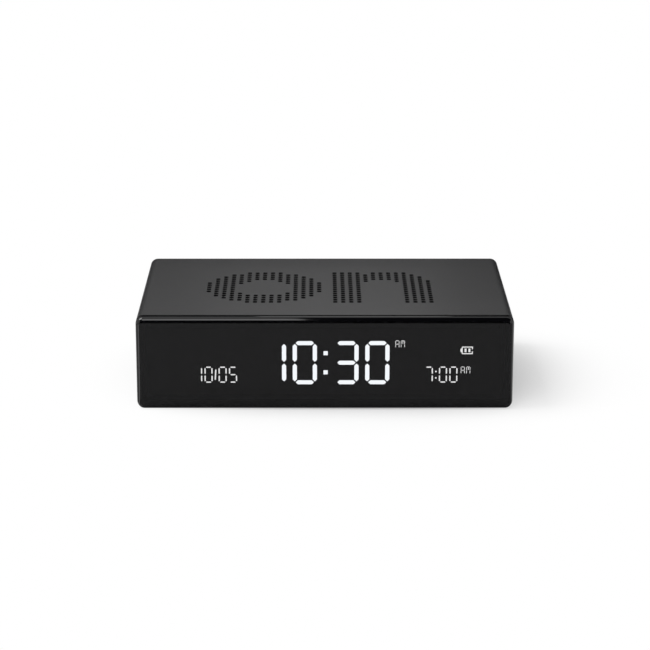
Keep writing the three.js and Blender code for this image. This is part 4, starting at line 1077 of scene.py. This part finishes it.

# %% Floor
# The lift to white is painted light: an emission share that grows from LIFT_LEAST by the clock to
# full white past LIFT_END, round an off-centre, squeezed ellipse, so it also fades and shapes the
# far part of the clock's shadow.
FLOOR_SIDE, LIFT_CENTRE, LIFT_SQUEEZE = 12.0, (0.012, 0.003, 0.0), (0.7, 1.0, 1.0)
LIFT_START, LIFT_END, LIFT_LEAST = 0.031, 0.07, 0.34
pale_sweep, tree = new_material(
    "pale_sweep", Base_Color=linear("fdfdfd"), Roughness=0.9, Specular_IOR_Level=0.0
)
moved = calculate(tree, "SUBTRACT", own_place(tree), LIFT_CENTRE, "VectorMath")
squeezed = calculate(tree, "MULTIPLY", moved, LIFT_SQUEEZE, "VectorMath")
distance = add_node(tree, "VectorMath", {"operation": "LENGTH"}, in_0=squeezed).outputs["Value"]
lift = add_node(
    tree, "MapRange", {"interpolation_type": "SMOOTHSTEP"}, Value=distance,
    From_Min=LIFT_START, From_Max=LIFT_END, To_Min=LIFT_LEAST, To_Max=1.0,
)
share = calculate(tree, "MULTIPLY", seen_rays(tree), lift.outputs["Result"])
white = add_node(tree, "Emission", Color=(1, 1, 1, 1), Strength=1.0).outputs[0]
dull = tree.nodes["Principled BSDF"].outputs[0]
both = add_node(tree, "MixShader", in_0=share, in_1=dull, in_2=white)
tree.links.new(both.outputs[0], tree.nodes["Material Output"].inputs["Surface"])
ground = bmesh.new()
bmesh.ops.create_grid(ground, x_segments=1, y_segments=1, size=FLOOR_SIDE / 2)
make_object("floor", ground, [pale_sweep])
print("the floor is white from", LIFT_END, "m outwards")


# %% Lamps and cards
def area_lamp(name, place, target, size, power):
    """A soft rectangular lamp aimed at a point, in metres and watts."""
    lamp = bpy.data.objects.new(name, bpy.data.lights.new(name, "AREA"))
    lamp.data.shape = "RECTANGLE"
    lamp.data.size, lamp.data.size_y = size
    lamp.data.energy = power
    lamp.location = place
    lamp.rotation_euler = (Vector(target) - Vector(place)).to_track_quat("-Z", "Y").to_euler()
    bpy.context.scene.collection.objects.link(lamp)


def paper(name, colour, **sockets):
    """A dull material for cards."""
    return new_material(name, Base_Color=linear(colour), Roughness=1.0, **sockets)[0]


def hang_card(name, material, corners):
    """A flat card, given by its corners in metres, that is seen only in reflections."""
    bm = bmesh.new()
    bm.faces.new([bm.verts.new(corner) for corner in corners])
    card = make_object(name, bm, [material])
    card.visible_camera = card.visible_diffuse = False
    card.visible_shadow = card.visible_transmission = False


def upright(left, right, y, low, high):
    """Corners of a card that stands across the view."""
    return (left, y, low), (right, y, low), (right, y, high), (left, y, high)


def level(left, right, near, far, z):
    """Corners of a card that lies flat."""
    return (left, near, z), (right, near, z), (right, far, z), (left, far, z)


area_lamp("left_softbox", (-0.76, 0.03, 1.1), (0, 0, 0), (0.72, 0.72), 9.6)
area_lamp("edge_strip", (-0.207, -0.5575, 1.006), (-0.207, 0, 0), (0.39, 0.489), 2.14)
black = paper("black_card", "0c0c0c", Specular_IOR_Level=0.0)
grey = paper("grey_card", "b0b0b0", Specular_IOR_Level=0.0)
white = paper("white_card", "ffffff", Emission_Color=(1, 1, 1, 1), Emission_Strength=1.0)
LOW_Z, WEDGE_Z = 0.0003, 0.0006
WEDGE = ((-0.0578, -0.0345, WEDGE_Z), (-0.2, -0.055, WEDGE_Z), (-0.2, -0.117, WEDGE_Z))
for card in (
    ("front_card", black, upright(-2.2, 2.2, -1.8, 0.02, 1.6)),
    ("top_left_card", black, level(-2.2, -0.02, -1.8, -0.55, 1.6)),
    ("top_right_card", black, level(-0.02, 2.2, -1.8, 0.3, 1.6)),
    ("back_card", black, upright(-0.6, 0.6, 0.25, 0.0, 0.106)),
    ("left_back_card", black, upright(-0.6, -0.05, 0.24, 0.0, 0.12)),
    ("right_back_card", black, upright(0.05, 0.6, 0.24, 0.0, 0.13)),
    ("high_left_card", black, upright(-0.6, -0.03, 0.24, 0.19, 0.42)),
    ("high_right_card", black, upright(0.06, 0.6, 0.24, 0.19, 0.42)),
    ("floor_card", grey, level(-1.2, 1.2, -1.75, -0.034, LOW_Z)),
    ("left_floor_card", grey, level(-1.2, -0.06, -0.034, 0.055, LOW_Z)),
    ("left_floor_wedge", white, WEDGE),
):
    hang_card(*card)
print("two lamps, eleven cards")
